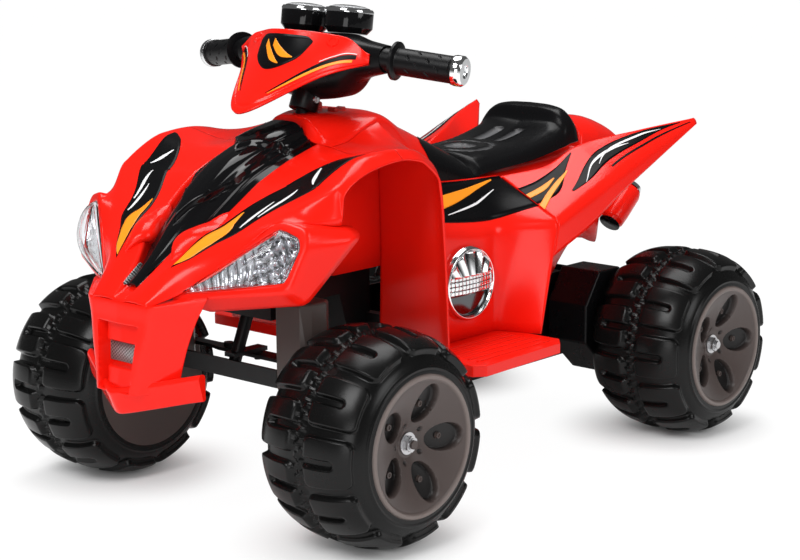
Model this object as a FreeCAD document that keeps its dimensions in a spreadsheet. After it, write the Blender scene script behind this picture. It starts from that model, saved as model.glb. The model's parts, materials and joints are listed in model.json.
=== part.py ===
import FreeCAD, Part
import math
import os
import Sketcher
from FreeCAD import Rotation, Vector

doc = FreeCAD.newDocument("quad_bike")
sheet = doc.addObject("Spreadsheet::Sheet", "sizes")

# Every length of the part in millimetres, angles in degrees.
LENGTHS = {
    # wheels and running gear
    "wheel_radius": 148, "wheel_width": 172, "wheelbase": 732, "half_track": 263,
    "rim_radius": 96, "tyre_wall": 6, "pad_height": 6, "rim_stand": 3.5, "disc_wall": 8,
    "nut_recess": 30, "hub_radius": 18, "axle_radius": 6, "nut_radius": 11, "nut_height": 9,
    "dimple_radius": 3.5, "dimple_depth": 3,
    # fits
    "running_fit": 0.05, "part_gap": 0.3, "overrun": 10, "pin_play": 3, "loose_gap": 1, "crank_gap": 3,
    # body layout
    "leg_gap": 65, "rear_gap": 136, "tail_reach": 98, "fender_half": 222, "fender_rise": 366,
    "shell_wall": 4,
    # front axle and steering
    "kingpin_inset": 42, "kingpin_radius": 7, "strut_width": 64, "strut_depth": 56,
    "strut_height": 125, "strut_lift": 40, "knuckle_depth": 36, "knuckle_drop": 20,
    "steer_arm": 45, "arm_width": 18, "arm_thick": 12, "pin_radius": 5, "rod_rise": 58,
    "rod_width": 18, "rod_thick": 5, "beam_height": 25, "beam_thick": 5, "bolt_radius": 7,
    "column_radius": 9, "crank_width": 20, "crank_thick": 6, "rod_bolt_reach": 60,
    # chassis and drive
    "spine_half": 52, "pan_half": 84, "pan_wall": 6, "battery_length": 151, "battery_width": 65,
    "battery_height": 94, "motor_radius": 19, "motor_length": 54,
    "gearbox_inner": 95, "gearbox_play": 5, "gear_rise": 112, "beam_half_depth": 35,
    # foot boards and pedal
    "board_half": 278, "board_thick": 17, "rib_height": 2, "rib_width": 6, "rib_pitch": 16,
    "pedal_length": 80, "pedal_width": 58, "pedal_thick": 8, "pedal_pin": 3,
    "pedal_lift": 10, "ear_thick": 6,
    # trim
    "trim_radius": 56, "trim_depth": 18, "lamp_radius": 21, "lamp_length": 78, "lens_thick": 5,
    # handlebar
    "grip_radius": 19, "grip_length": 92, "grip_stand": 12, "stem_length": 60,
    "flange_radius": 27, "cap_length": 14, "gauge_radius": 35, "gauge_height": 33,
    "button_radius": 8, "button_height": 9, "switch_length": 24, "switch_width": 14,
    "switch_stand": 50.77,
}
ANGLES = {"column_rake": 22.7, "pad_turn": 26, "slot_turn": 2.6, "pedal_tilt": 12, "lamp_tilt": 50,
          "gauge_tilt": 8}

for row, (name, value) in enumerate({**LENGTHS, **ANGLES}.items(), start=1):
    sheet.set("A%d" % row, name)
    sheet.set("B%d" % row, str(value))
    sheet.setAlias("B%d" % row, name)
doc.recompute()


class Size:
    """A length that carries its value and the sheet expression it comes from."""

    def __init__(self, value, text):
        self.value = float(value)
        self.text = text

    def __float__(self):
        return self.value

    def __add__(self, other):
        return Size(self.value + float(other), "(%s + %s)" % (self.text, words(other)))

    def __radd__(self, other):
        return Size(float(other) + self.value, "(%s + %s)" % (words(other), self.text))

    def __sub__(self, other):
        return Size(self.value - float(other), "(%s - %s)" % (self.text, words(other)))

    def __rsub__(self, other):
        return Size(float(other) - self.value, "(%s - %s)" % (words(other), self.text))

    def __mul__(self, other):
        return Size(self.value * float(other), "(%s * %s)" % (self.text, words(other)))

    __rmul__ = __mul__

    def __truediv__(self, other):
        return Size(self.value / float(other), "(%s / %s)" % (self.text, words(other)))

    def __neg__(self):
        return Size(-self.value, "(0 - %s)" % self.text)


def words(quantity):
    return quantity.text if isinstance(quantity, Size) else "%.6f" % quantity


def size(name):
    return Size(sheet.get(name), "sizes." + name)


class Named:
    """All named sizes of the sheet as attributes."""


S = Named()
for name in {**LENGTHS, **ANGLES}:
    setattr(S, name, size(name))

# Layout: the nose points to -Y, the left side lies at +X, the floor is z = 0.
leg_reach = S.wheel_radius + S.leg_gap
front_unit = leg_reach / 2.13
cabin_unit = (S.wheelbase - S.wheel_radius - S.rear_gap - leg_reach) / 2.35
rear_unit = (S.wheel_radius + S.rear_gap + S.tail_reach) / 3.82
front_axle = (2.3 * front_unit - S.wheelbase - S.wheel_radius) / 2
rear_axle = front_axle + S.wheelbase
axle_height = S.wheel_radius
tyre_side = S.wheel_width / 2
kingpin_x = S.half_track - tyre_side - S.kingpin_inset
bore_radius = S.axle_radius + S.running_fit
width_unit = S.fender_half / 2.22
rise_unit = S.fender_rise / 3.66


def front_y(share):
    """Station along the front end, counted from the front axle."""
    return front_axle + share * front_unit


def cabin_y(share):
    """Station between the leg shields and the rear flare."""
    return front_axle + leg_reach + share * cabin_unit


def rear_y(share):
    """Station along the tail, counted from the rear flare."""
    return rear_axle - S.wheel_radius - S.rear_gap + share * rear_unit


def wide(share):
    return share * width_unit


def rise(share):
    return axle_height + share * rise_unit


level_shares = {"pan_floor": -0.4, "frame_low": 1.36, "frame_top": 1.66, "board_top": 0.55}
pan_floor = rise(level_shares["pan_floor"])
motor_y = rear_axle - 0.62 * S.gear_rise
motor_z = axle_height + 0.7 * S.gear_rise
pan_top = motor_z + S.motor_radius + S.part_gap + 0.4 * S.pan_wall
frame_low = rise(level_shares["frame_low"])
frame_top = rise(level_shares["frame_top"])
board_top = rise(level_shares["board_top"])


def bind(obj, **values):
    for key, quantity in values.items():
        obj.setExpression(key.replace("__", "."), words(quantity))


def place(obj, x=0.0, y=0.0, z=0.0, turn=None):
    if turn is not None:
        obj.Placement = FreeCAD.Placement(Vector(0, 0, 0), turn)
    bind(obj, Placement__Base__x=x, Placement__Base__y=y, Placement__Base__z=z)


def new_body(label):
    body = doc.addObject("PartDesign::Body", label)
    body.Label = label
    return body


def sketch(body, role, lift=None):
    item = body.newObject("Sketcher::SketchObject", body.Name + "_sketch")
    plane = [f for f in body.Origin.OriginFeatures if f.Role == role][0]
    item.AttachmentSupport = [(plane, "")]
    item.MapMode = "FlatFace"
    if lift is not None:
        bind(item, AttachmentOffset__Base__z=lift)
    return item


def outline(body, role, points, lift=None):
    """A closed outline of straight lines with each corner pinned by two sizes."""
    item = sketch(body, role, lift)
    spots = [Vector(float(u), float(v), 0) for u, v in points]
    count = len(spots)
    item.addGeometry([Part.LineSegment(spots[i], spots[(i + 1) % count]) for i in range(count)])
    item.addConstraint([Sketcher.Constraint("Coincident", i, 2, (i + 1) % count, 1) for i in range(count)])
    for i, (u, v) in enumerate(points):
        for kind, quantity in (("DistanceX", u), ("DistanceY", v)):
            index = item.addConstraint(Sketcher.Constraint(kind, -1, 1, i, 1, float(quantity)))
            item.setExpression("Constraints[%d]" % index, words(quantity))
    return item


def rounds(body, role, circles, lift=None):
    """Circles, each with its centre and radius pinned by sizes."""
    item = sketch(body, role, lift)
    for u, v, radius in circles:
        circle = Part.Circle(Vector(float(u), float(v), 0), Vector(0, 0, 1), float(radius))
        g = item.addGeometry(circle)
        for constraint, quantity in (
            (Sketcher.Constraint("Radius", g, float(radius)), radius),
            (Sketcher.Constraint("DistanceX", -1, 1, g, 3, float(u)), u),
            (Sketcher.Constraint("DistanceY", -1, 1, g, 3, float(v)), v),
        ):
            index = item.addConstraint(constraint)
            item.setExpression("Constraints[%d]" % index, words(quantity))
    return item


def box_points(u0, u1, v0, v1):
    return [(u0, v0), (u1, v0), (u1, v1), (u0, v1)]


def feature(body, kind, profile, length=None, both=False, back=False):
    item = body.newObject("PartDesign::" + kind, body.Name + "_" + kind.lower())
    item.Profile = profile
    if length is None:
        item.Type = "ThroughAll"
    else:
        bind(item, Length=length)
    item.SideType = "Symmetric" if both else "One side"
    item.Reversed = back
    body.Tip = item
    return item


def pad(body, profile, length, both=False, back=False):
    return feature(body, "Pad", profile, length, both, back)


def pocket(body, profile, length=None, both=False, back=False):
    return feature(body, "Pocket", profile, length, both, back)


def turned(body, points, angle=None, role="XZ_Plane", kind="Revolution"):
    """A profile of (radius, height) corners turned about the body's Z axis, wholly or by an angle."""
    profile = outline(body, role, points)
    item = body.newObject("PartDesign::" + kind, body.Name + "_turned")
    item.Profile = profile
    item.ReferenceAxis = (profile, ["V_Axis"])
    if angle is not None:
        item.Midplane = True
        bind(item, Angle=angle)
    body.Tip = item
    return item


def ring_of(body, original, count, profile, axis="V_Axis"):
    item = body.newObject("PartDesign::PolarPattern", body.Name + "_ring")
    item.Originals = [original]
    item.Axis = (profile, [axis])
    item.Angle = 360
    item.Occurrences = count
    body.Tip = item
    return item


def mirrored(label, source):
    item = doc.addObject("Part::Mirroring", label)
    item.Label = label
    item.Source = source
    item.Normal = Vector(1, 0, 0)
    return item


def solid(label, shape):
    item = doc.addObject("Part::Feature", label)
    item.Label = label
    item.Shape = shape
    return item


def rod(label, radius, length, x=0.0, y=0.0, z=0.0, turn=None):
    item = doc.addObject("Part::Cylinder", label)
    item.Label = label
    bind(item, Radius=radius, Height=length)
    place(item, x, y, z, turn)
    return item


def cut(label, base, tools):
    result = base
    for count, tool in enumerate(tools, start=1):
        last = count == len(tools)
        item = doc.addObject("Part::Cut", label if last else "%s_cut_%d" % (label, count))
        item.Base = result
        item.Tool = tool
        result = item
    result.Label = label
    return result


def joined(label, items):
    item = doc.addObject("Part::MultiFuse", label)
    item.Label = label
    item.Shapes = items
    return item


def group(label, items):
    item = doc.addObject("Part::Compound", label)
    item.Label = label
    item.Links = items
    return item


ALONG_X = Rotation(Vector(0, 1, 0), 90)
ALONG_Y = Rotation(Vector(1, 0, 0), -90)
column_turn = Rotation(Vector(1, 0, 0), -float(S.column_rake))


def inset(points, wall):
    """The open outline moved to its right-hand side by the wall, corners mitred."""
    moved = []
    steps = []
    for (u0, v0), (u1, v1) in zip(points[:-1], points[1:]):
        span = math.hypot(u1 - u0, v1 - v0)
        steps.append(((v1 - v0) / span, (u0 - u1) / span))
    for i, (u, v) in enumerate(points):
        a = steps[max(i - 1, 0)]
        b = steps[min(i, len(steps) - 1)]
        reach = wall / max(0.4, 1 + a[0] * b[0] + a[1] * b[1])
        moved.append((u + reach * (a[0] + b[0]), v + reach * (a[1] + b[1])))
    return moved


def band(points, wall):
    return points + inset(points, wall)[::-1]


def ring_at(points, y, lean=0.0, foot=0.0):
    """A ring of (x, z) corners at a station, leaning back with height."""
    return [Vector(u, float(y) + lean * (v - foot), v) for u, v in points]


def wire(ring):
    return Part.makePolygon(ring + ring[:1])


def both_halves(half):
    return [(-u, v) for u, v in half[:0:-1]] + half


def scaled(shares):
    return [(float(wide(u)), float(rise(v))) for u, v in shares]


def loft(rings):
    shape = Part.makeLoft([wire(ring) for ring in rings], True, True)
    return shape if shape.Volume > 0 else shape.reversed()


def slopes(knots, values):
    """Slopes at the knots of a curve through the values that never overshoots, level where it turns back."""
    rates = [(b - a) / (t - s) for s, t, a, b in zip(knots, knots[1:], values, values[1:])]
    inner = [2 * p * q / (p + q) if p * q > 0 else 0.0 for p, q in zip(rates, rates[1:])]
    return rates[:1] + inner + rates[-1:]


def eased(rings, steps=3):
    """The rings with more between them, each corner carried on by a cubic curve through its places."""
    knots = [0.0]
    for ring, following in zip(rings, rings[1:]):
        spans = [p.distanceToPoint(q) for p, q in zip(ring, following)]
        knots.append(knots[-1] + sum(spans) / len(spans))
    rows = [[value for corner in ring for value in corner] for ring in rings]
    tangents = list(zip(*[slopes(knots, column) for column in zip(*rows)]))
    fine = rings[:1]
    for i, (start, end) in enumerate(zip(knots, knots[1:])):
        for step in range(1, steps + 1):
            u = step / steps
            row = []
            for a, b, leave, arrive in zip(rows[i], rows[i + 1], tangents[i], tangents[i + 1]):
                turn = u * (1 - u) * (end - start) * ((1 - u) * leave - u * arrive)
                row.append(a + (b - a) * u * u * (3 - 2 * u) + turn)
            fine.append([Vector(*row[j:j + 3]) for j in range(0, len(row), 3)])
    return fine


def mould_rings(stations, wall):
    """Thin closed rings at stations of (y, corner shares of the left half)."""
    return [ring_at(band(both_halves(scaled(shares)), wall), y) for y, shares in stations]


def moulded(stations, wall):
    return loft(eased(mould_rings(stations, wall)))


wall = float(S.shell_wall)
gap = float(S.part_gap)

# Wheels
tread_radius = S.wheel_radius - S.pad_height
tyre_depth = tread_radius - S.rim_radius
pad_depth = S.wheel_radius - S.rim_radius
tyre_shares = ((0.02, 0.97), (0.24, 1.0), (0.47, 0.99), (0.7, 0.92), (0.88, 0.8), (1.0, 0.6))
pad_shares = ((0.1, 1.0), (0.58, 1.0), (0.8, 0.9), (0.94, 0.72), (1.01, 0.5), (0.985, 0.34))
pad_root_shares = ((0.92, 0.45), (0.85, 0.64), (0.75, 0.76), (0.56, 0.85), (0.1, 0.85))
slot_shares = (0.08, 0.08, 0.55, 0.55)
PAD_COUNT = 11
web_share = 0.9
hub_share = 0.45
rim_face = tyre_side + S.rim_stand
hub_floor = rim_face - S.nut_recess


def tyre(label, y):
    body = new_body(label)
    inner_depth = tyre_depth - S.tyre_wall
    inner_side = tyre_side - S.tyre_wall
    outer = [(S.rim_radius + a * tyre_depth, b * tyre_side) for a, b in tyre_shares]
    inner = [(S.rim_radius + a * inner_depth, b * inner_side) for a, b in tyre_shares]
    web = web_share * tyre_side
    points = list(outer)
    points += [(u, -v) for u, v in outer[::-1]]
    points += [(web_share * S.rim_radius, -web), (bore_radius, -web), (bore_radius, -hub_share * tyre_side)]
    points += [(S.hub_radius, -hub_share * tyre_side), (S.hub_radius, S.tyre_wall - web)]
    points += [(web_share * S.rim_radius, S.tyre_wall - web)]
    points += [(u, -v) for u, v in inner[1:]]
    points += inner[::-1]
    turned(body, points)
    rim = [(S.rim_radius + b * pad_depth, a * tyre_side) for a, b in pad_shares + pad_root_shares]
    slot_top = S.wheel_radius + S.overrun
    slot_radii = (tread_radius, slot_top, slot_top, tread_radius)
    slot = [(radius, a * tyre_side) for a, radius in zip(slot_shares, slot_radii)]
    for side, role in ((1, "XZ_Plane"), (-1, "YZ_Plane")):
        pad_turned = turned(body, [(u, side * v) for u, v in rim], S.pad_turn, role)
        ring_of(body, pad_turned, PAD_COUNT, pad_turned.Profile[0])
        slot_turned = turned(body, [(u, side * v) for u, v in slot], S.slot_turn, role, "Groove")
        ring_of(body, slot_turned, PAD_COUNT, slot_turned.Profile[0])
    place(body, S.half_track, y, axle_height, ALONG_X)
    return body


def wheel_disc(label, y):
    body = new_body(label)
    edge = S.rim_radius + tyre_shares[0][0] * (tyre_depth - S.tyre_wall) - S.part_gap
    floor = hub_floor
    dish_shares = ((0.19, 0.0), (0.3, 0.02), (0.36, 0.1), (0.86, 0.72), (0.93, 1.0))
    face = [(a * edge, floor + b * S.nut_recess) for a, b in dish_shares]
    back = [(u, v - S.disc_wall) for u, v in face[1:4]]
    points = [(bore_radius, floor - 3.4 * S.disc_wall), (bore_radius, floor)] + face
    points += [(edge, rim_face), (edge, rim_face - 1.6 * S.disc_wall)]
    points += [(0.93 * edge, rim_face - 1.9 * S.disc_wall)]
    points += back[::-1] + [(0.19 * edge, floor - S.disc_wall), (0.19 * edge, floor - 3.4 * S.disc_wall)]
    turned(body, points)
    doc.recompute()
    window_shares = ((0.43, 0.05), (0.5, 0.11), (0.6, 0.145), (0.7, 0.15), (0.78, 0.12), (0.83, 0.05))
    window = [(a * edge, b * edge) for a, b in window_shares]
    window += [(u, -v) for u, v in window[::-1]]
    windows = pocket(body, outline(body, "XY_Plane", window), None, True)
    ring_of(body, windows, 5, windows.Profile[0], "N_Axis")
    dimple = rounds(body, "XY_Plane", [(-0.27 * edge, 0.0, S.dimple_radius)], floor)
    dents = pocket(body, dimple, S.dimple_depth)
    ring_of(body, dents, 5, dents.Profile[0], "N_Axis")
    place(body, S.half_track, y, axle_height, ALONG_X)
    return body


def axle_nut(label, y, x):
    """A hexagon lock nut with its washer on an axle end."""
    body = new_body(label)
    corners = [(math.cos(math.radians(60 * i)), math.sin(math.radians(60 * i))) for i in range(6)]
    points = [(u * S.nut_radius, v * S.nut_radius) for u, v in corners]
    pad(body, outline(body, "XY_Plane", points, 0.2 * S.nut_height), 0.8 * S.nut_height)
    pad(body, rounds(body, "XY_Plane", [(0.0, 0.0, 1.35 * S.nut_radius)]), 0.22 * S.nut_height)
    collar = rounds(body, "XY_Plane", [(0.0, 0.0, 0.72 * S.nut_radius)], S.nut_height)
    pad(body, collar, 0.2 * S.nut_height)
    doc.recompute()
    pocket(body, rounds(body, "XY_Plane", [(0.0, 0.0, bore_radius)]), None, True)
    place(body, x, y, axle_height, ALONG_X)
    return body


nut_x = S.half_track + hub_floor + S.loose_gap
axle_end = nut_x + 1.5 * S.nut_height
wheel_sets = {}
for end, y in (("front", front_axle), ("rear", rear_axle)):
    for kind, make in (("tyre", tyre), ("wheel_disc", wheel_disc)):
        left = make("%s_left_%s" % (end, kind), y)
        wheel_sets["%s_left_%s" % (end, kind)] = left
        wheel_sets["%s_right_%s" % (end, kind)] = mirrored("%s_right_%s" % (end, kind), left)

nodes = dict(wheel_sets)


def keep(item):
    nodes[item.Label] = item
    return item


left_nut = keep(axle_nut("front_left_nut", front_axle, nut_x))
keep(mirrored("front_right_nut", left_nut))
rear_left_nut = axle_nut("rear_left_nut", rear_axle, nut_x)
rear_right_nut = mirrored("rear_right_nut", rear_left_nut)
keep(group("rear_nuts", [rear_left_nut, rear_right_nut]))

# Front struts, knuckles and the steering linkage
strut_low = axle_height + S.strut_lift
strut_top = strut_low + S.strut_height
left_strut = new_body("left_strut")
half_w = S.strut_width / 2
half_d = S.strut_depth / 2
plan_shares = ((1.0, 0.5), (0.7, 1.0), (-0.7, 1.0), (-1.0, 0.6))
plan = [(a * half_w, b * half_d) for a, b in plan_shares]
plan += [(u, -v) for u, v in plan[::-1]]
pad(left_strut, outline(left_strut, "XY_Plane", plan), S.strut_height)
doc.recompute()
pin_hole = [(0.0, 0.0, S.kingpin_radius + S.running_fit)]
pocket(left_strut, rounds(left_strut, "XY_Plane", pin_hole), None, True)
place(left_strut, kingpin_x, front_axle, strut_low)
keep(left_strut)
keep(mirrored("right_strut", left_strut))

left_knuckle = new_body("left_knuckle")
block_top = S.strut_lift - S.part_gap
knuckle_half = S.knuckle_depth / 2
block_plan = box_points(-0.42 * S.strut_width, 0.46 * S.strut_width, -knuckle_half, knuckle_half)
block_line = outline(left_knuckle, "XY_Plane", block_plan, -S.knuckle_drop)
pad(left_knuckle, block_line, S.knuckle_drop + block_top)
kingpin = rounds(left_knuckle, "XY_Plane", [(0.0, 0.0, S.kingpin_radius)], block_top)
pad(left_knuckle, kingpin, 0.96 * S.strut_height)
arm = box_points(-S.arm_width / 2, S.arm_width / 2, 0.0, S.steer_arm)
pad(left_knuckle, outline(left_knuckle, "XY_Plane", arm, block_top - S.arm_thick), S.arm_thick)
arm_low = block_top - S.arm_thick
arm_boss = rounds(left_knuckle, "XY_Plane", [(0.0, S.steer_arm, S.arm_width / 2)], arm_low)
pad(left_knuckle, arm_boss, S.rod_rise - block_top + S.arm_thick - S.part_gap)
arm_pin = rounds(left_knuckle, "XY_Plane", [(0.0, S.steer_arm, S.pin_radius)], block_top)
pad(left_knuckle, arm_pin, S.rod_rise - block_top + 2.2 * S.rod_thick)
stub = rounds(left_knuckle, "YZ_Plane", [(0.0, 0.0, S.axle_radius)])
pad(left_knuckle, stub, axle_end - kingpin_x)
place(left_knuckle, kingpin_x, front_axle, axle_height)
keep(left_knuckle)
keep(mirrored("right_knuckle", left_knuckle))

tie_rod = new_body("tie_rod")
rod_end = kingpin_x + 0.6 * S.rod_width
eye_shares = ((0.84, 1.0), (0.64, 1.0), (0.5, 1.5), (0.1, 1.5))
right_edge = [(rod_end, 0.3 * S.rod_width), (rod_end - 0.3 * S.rod_width, 0.5 * S.rod_width)]
right_edge += [(a * kingpin_x, b * 0.5 * S.rod_width) for a, b in eye_shares]
upper = right_edge + [(-u, v) for u, v in right_edge[::-1]]
rod_plan = upper + [(u, -v) for u, v in upper[::-1]]
pad(tie_rod, outline(tie_rod, "XY_Plane", rod_plan), S.rod_thick)
for reach in (S.rod_bolt_reach, -S.rod_bolt_reach):
    head = rounds(tie_rod, "XY_Plane", [(reach, 0.0, S.bolt_radius)])
    pad(tie_rod, head, 2.2 * S.rod_thick)
doc.recompute()
eye_radius = S.pin_radius + S.running_fit
end_holes = [(kingpin_x, 0.0, eye_radius), (-kingpin_x, 0.0, eye_radius)]
pocket(tie_rod, rounds(tie_rod, "XY_Plane", end_holes), None, True)
pocket(tie_rod, rounds(tie_rod, "XY_Plane", [(0.0, 0.0, S.pin_radius + S.pin_play)]), None, True)
place(tie_rod, 0.0, front_axle + S.steer_arm, axle_height + S.rod_rise)
keep(tie_rod)

beam = new_body("front_axle_beam")
beam_reach = kingpin_x - half_w - S.part_gap
beam_side = box_points(-beam_reach, beam_reach, -S.beam_height / 2, S.beam_height / 2)
pad(beam, outline(beam, "XZ_Plane", beam_side), S.beam_thick, True)
beam_middle = axle_height + S.strut_lift + S.beam_height / 2
place(beam, 0.0, front_axle - 0.6 * half_d, beam_middle)
keep(beam)

# Chassis: the front cross frame with its spine, and the pan that carries the battery
chassis = new_body("chassis")
cross = box_points(-beam_reach, beam_reach, front_axle - half_d, front_axle + half_d)
pad(chassis, outline(chassis, "XY_Plane", cross, frame_low), frame_top - frame_low)
frame_shares = {"spine_end": 0.12, "spine_bend": 1.6, "pan_start": 0.03}
frame_shares.update({"bay_start": 0.18, "well_start": 0.75})
spine_end = cabin_y(frame_shares["spine_end"])
pan_start = cabin_y(frame_shares["pan_start"])
spine_bend = front_y(frame_shares["spine_bend"])
spine = [(front_axle, frame_low), (front_axle, frame_top), (spine_end, frame_top)]
spine += [(spine_end, pan_floor), (cabin_y(0), pan_floor), (spine_bend, frame_low)]
pad(chassis, outline(chassis, "YZ_Plane", spine), 2 * S.spine_half, True)
beam_front = rear_axle - S.beam_half_depth - S.part_gap
pan = [(pan_start, pan_floor), (pan_start, pan_top), (beam_front, pan_top)]
pan += [(beam_front, axle_height - S.beam_half_depth), (beam_front - S.beam_half_depth, pan_floor)]
pad(chassis, outline(chassis, "YZ_Plane", pan), 2 * S.pan_half, True)
doc.recompute()
bay_half = S.pan_half - S.pan_wall
bay_start = cabin_y(frame_shares["bay_start"])
bay = box_points(-bay_half, bay_half, bay_start, beam_front - S.pan_wall)
pocket(chassis, outline(chassis, "XY_Plane", bay, pan_top), pan_top - pan_floor - S.pan_wall)
well_half = S.spine_half - S.pan_wall
well_start = front_y(frame_shares["well_start"])
well = box_points(-well_half, well_half, well_start, cabin_y(0))
pocket(chassis, outline(chassis, "XY_Plane", well, frame_top), frame_top - frame_low - S.pan_wall)
motor_hole = [(motor_y, motor_z, S.motor_radius + S.part_gap)]
pocket(chassis, rounds(chassis, "YZ_Plane", motor_hole), None, True)
column_top_share = 4.4
foot_z = axle_height + S.rod_rise
column_length = (rise(column_top_share) - foot_z) / math.cos(math.radians(float(S.column_rake)))
hole_radius = S.column_radius + S.running_fit
column_hole = rod("column_hole", hole_radius, column_length, 0.0, front_axle, foot_z, column_turn)
chassis_cut = cut("chassis_frame", chassis, [column_hole])
keep(chassis_cut)

battery = new_body("battery")
cell = box_points(-S.battery_width / 2, S.battery_width / 2, 0.0, S.battery_length)
pad(battery, outline(battery, "XY_Plane", cell), S.battery_height)
for side in (0.3, -0.3):
    middle = side * S.battery_width
    tab_half = 0.04 * S.battery_width
    tab = box_points(middle - tab_half, middle + tab_half, 0.06 * S.battery_length, 0.1 * S.battery_length)
    pad(battery, outline(battery, "XY_Plane", tab, S.battery_height), 0.08 * S.battery_height)
battery_y = beam_front - S.pan_wall - 1.45 * S.battery_length
battery_z = pan_floor + S.pan_wall + S.part_gap
place(battery, 0.0, battery_y, battery_z)
keep(battery)

# Drive: a gearbox and motor on each side of the rear axle
gearbox_outer = S.half_track - web_share * tyre_side - S.gearbox_play
gearbox = new_body("left_gearbox")
gear_shares = ((-0.55, -0.55), (0.3, -0.55), (0.55, -0.3), (0.55, 0.2), (0.2, 0.55))
gear_shares += ((-0.35, 1.0), (-0.85, 1.0), (-1.16, 0.55), (-1.16, 0.0))
gear_line = [(a * S.gear_rise, b * S.gear_rise) for a, b in gear_shares]
gear_width = S.half_track - tyre_side - S.gearbox_play - S.gearbox_inner
pad(gearbox, outline(gearbox, "YZ_Plane", gear_line), gear_width)
boss_circle = rounds(gearbox, "YZ_Plane", [(0.0, 0.0, 2 * S.hub_radius)])
pad(gearbox, boss_circle, gearbox_outer - S.gearbox_inner)
doc.recompute()
axle_hole = rounds(gearbox, "YZ_Plane", [(0.0, 0.0, bore_radius)])
pocket(gearbox, axle_hole, None, True)
place(gearbox, S.gearbox_inner, rear_axle, axle_height)
keep(gearbox)
keep(mirrored("right_gearbox", gearbox))

motor = new_body("left_motor")
motor_shares = ((0.0, 0.0), (0.45, 0.0), (0.45, 0.08), (1.0, 0.08))
motor_shares += ((1.0, 0.96), (0.5, 0.96), (0.5, 1.0), (0.0, 1.0))
turned(motor, [(a * S.motor_radius, b * S.motor_length) for a, b in motor_shares])
place(motor, S.gearbox_inner - S.part_gap - S.motor_length, motor_y, motor_z, ALONG_X)
keep(motor)
keep(mirrored("right_motor", motor))

axle_beam = new_body("rear_axle_beam")
tube_half = S.gearbox_inner - S.part_gap
tube = box_points(-S.beam_half_depth, S.beam_half_depth, -S.beam_half_depth, S.beam_half_depth)
pad(axle_beam, outline(axle_beam, "YZ_Plane", tube), 2 * tube_half, True)
doc.recompute()
pocket(axle_beam, rounds(axle_beam, "YZ_Plane", [(0.0, 0.0, bore_radius)]), None, True)
place(axle_beam, 0.0, rear_axle, axle_height)
keep(axle_beam)
keep(rod("rear_axle", S.axle_radius, 2 * axle_end, -axle_end, rear_axle, axle_height, ALONG_X))

# Front cowl: the moulded bonnet with its fender tops, and the head lamp pods joined to it
seam_share = 1.1
cowl_edge_shares = ((0.88, 3.58), (1.3, 3.5), (2.07, 3.66), (2.22, 3.52))
cowl_shares = (
    (-2.07, ((0, 1.8), (0.08, 1.8), (0.12, 1.81), (0.2, 1.815), (0.3, 1.815), (0.52, 1.8), (0.525, 1.745))),
    (-1.61, ((0, 2.02), (0.17, 2.02), (0.19, 2.16), (0.36, 2.21), (0.54, 2.25), (0.74, 2.18), (0.86, 1.97))),
    (-1.2, ((0, 2.33), (0.35, 2.28), (0.38, 2.53), (0.55, 2.6), (0.8, 2.55), (1.13, 2.505), (1.357, 2.45))),
    (-0.85, ((0, 2.6), (0.5, 2.52), (0.53, 2.7), (0.76, 2.75), (1.04, 2.74), (1.47, 2.78), (1.78, 2.86))),
    (-0.1, ((0, 3.15), (0.6, 3.08), (0.63, 3.2), (0.95, 3.2), (1.4, 3.18), (2.12, 3.27), (2.2, 2.78))),
    (0.57, ((0, 3.45), (0.6, 3.36), (0.63, 3.47), (0.88, 3.475), (1.3, 3.48), (2.05, 3.62), (2.22, 3.46))),
    (seam_share, ((0, 3.62), (0.56, 3.5), (0.59, 3.61)) + cowl_edge_shares),
)
cowl_shell = solid("cowl_shell", moulded([(front_y(a), row) for a, row in cowl_shares], wall))


def spot(x, along, z):
    return Vector(float(wide(x)), float(front_y(along)), float(rise(z)))


lamp_tip_shares = (0.7, -1.69, 1.9)
rim_tip_shares = (0.9, -1.35, 1.64)


def lamp_plane(x, z):
    """Along share of the plane the head lamp glass lies in."""
    return lamp_tip_shares[1] + 0.471 * (x - lamp_tip_shares[0]) + 0.325 * (z - lamp_tip_shares[2])


def rim_plane(x, z):
    """Along share of the plane of the rear rim of the head lamp pod."""
    return rim_tip_shares[1] + 0.35 * (x - rim_tip_shares[0]) + 0.895 * (z - rim_tip_shares[2])


def flat_ring(shares, plane):
    return [spot(x, plane(x, z), z) for x, z in shares]


pod_shares = ((0.62, 1.82), (2.1, 2.0), (2.22, 2.58), (2.17, 2.82), (1.82, 2.93))
rim_shares = ((0.9, 1.64), (2.18, 1.81), (2.4, 2.64), (2.2, 2.76), (1.5, 2.7))
lens_shares = ((0.78, 1.93), (2.02, 2.12), (2.12, 2.56), (2.08, 2.68), (1.83, 2.79))
left_pod = solid("left_pod", loft([flat_ring(rim_shares, rim_plane), flat_ring(pod_shares, lamp_plane)]))
right_pod = mirrored("right_pod", left_pod)
lens_face = Part.Face(wire(flat_ring(lens_shares, lamp_plane)))
lens_out = lens_face.normalAt(0, 0)
if lens_out.y > 0:
    lens_out = -lens_out
glass = float(S.lens_thick)
overrun = float(S.overrun)
lens_start = lens_face.translated(lens_out * overrun)
left_pocket = solid("left_pocket", lens_start.extrude(lens_out * (-overrun - 6 * glass)))
right_pocket = mirrored("right_pocket", left_pocket)
cowl_all = joined("cowl_all", [cowl_shell, left_pod, right_pod])
keep(cut("front_cowl", cowl_all, [left_pocket, right_pocket]))
lens_wire = lens_face.OuterWire.makeOffset2D(-gap, 2)
lens_back = Part.Face(lens_wire).translated(lens_out * (-1.2 * glass))
left_lens = keep(solid("left_headlamp_lens", lens_back.extrude(lens_out * glass)))
keep(mirrored("right_headlamp_lens", left_lens))

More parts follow.
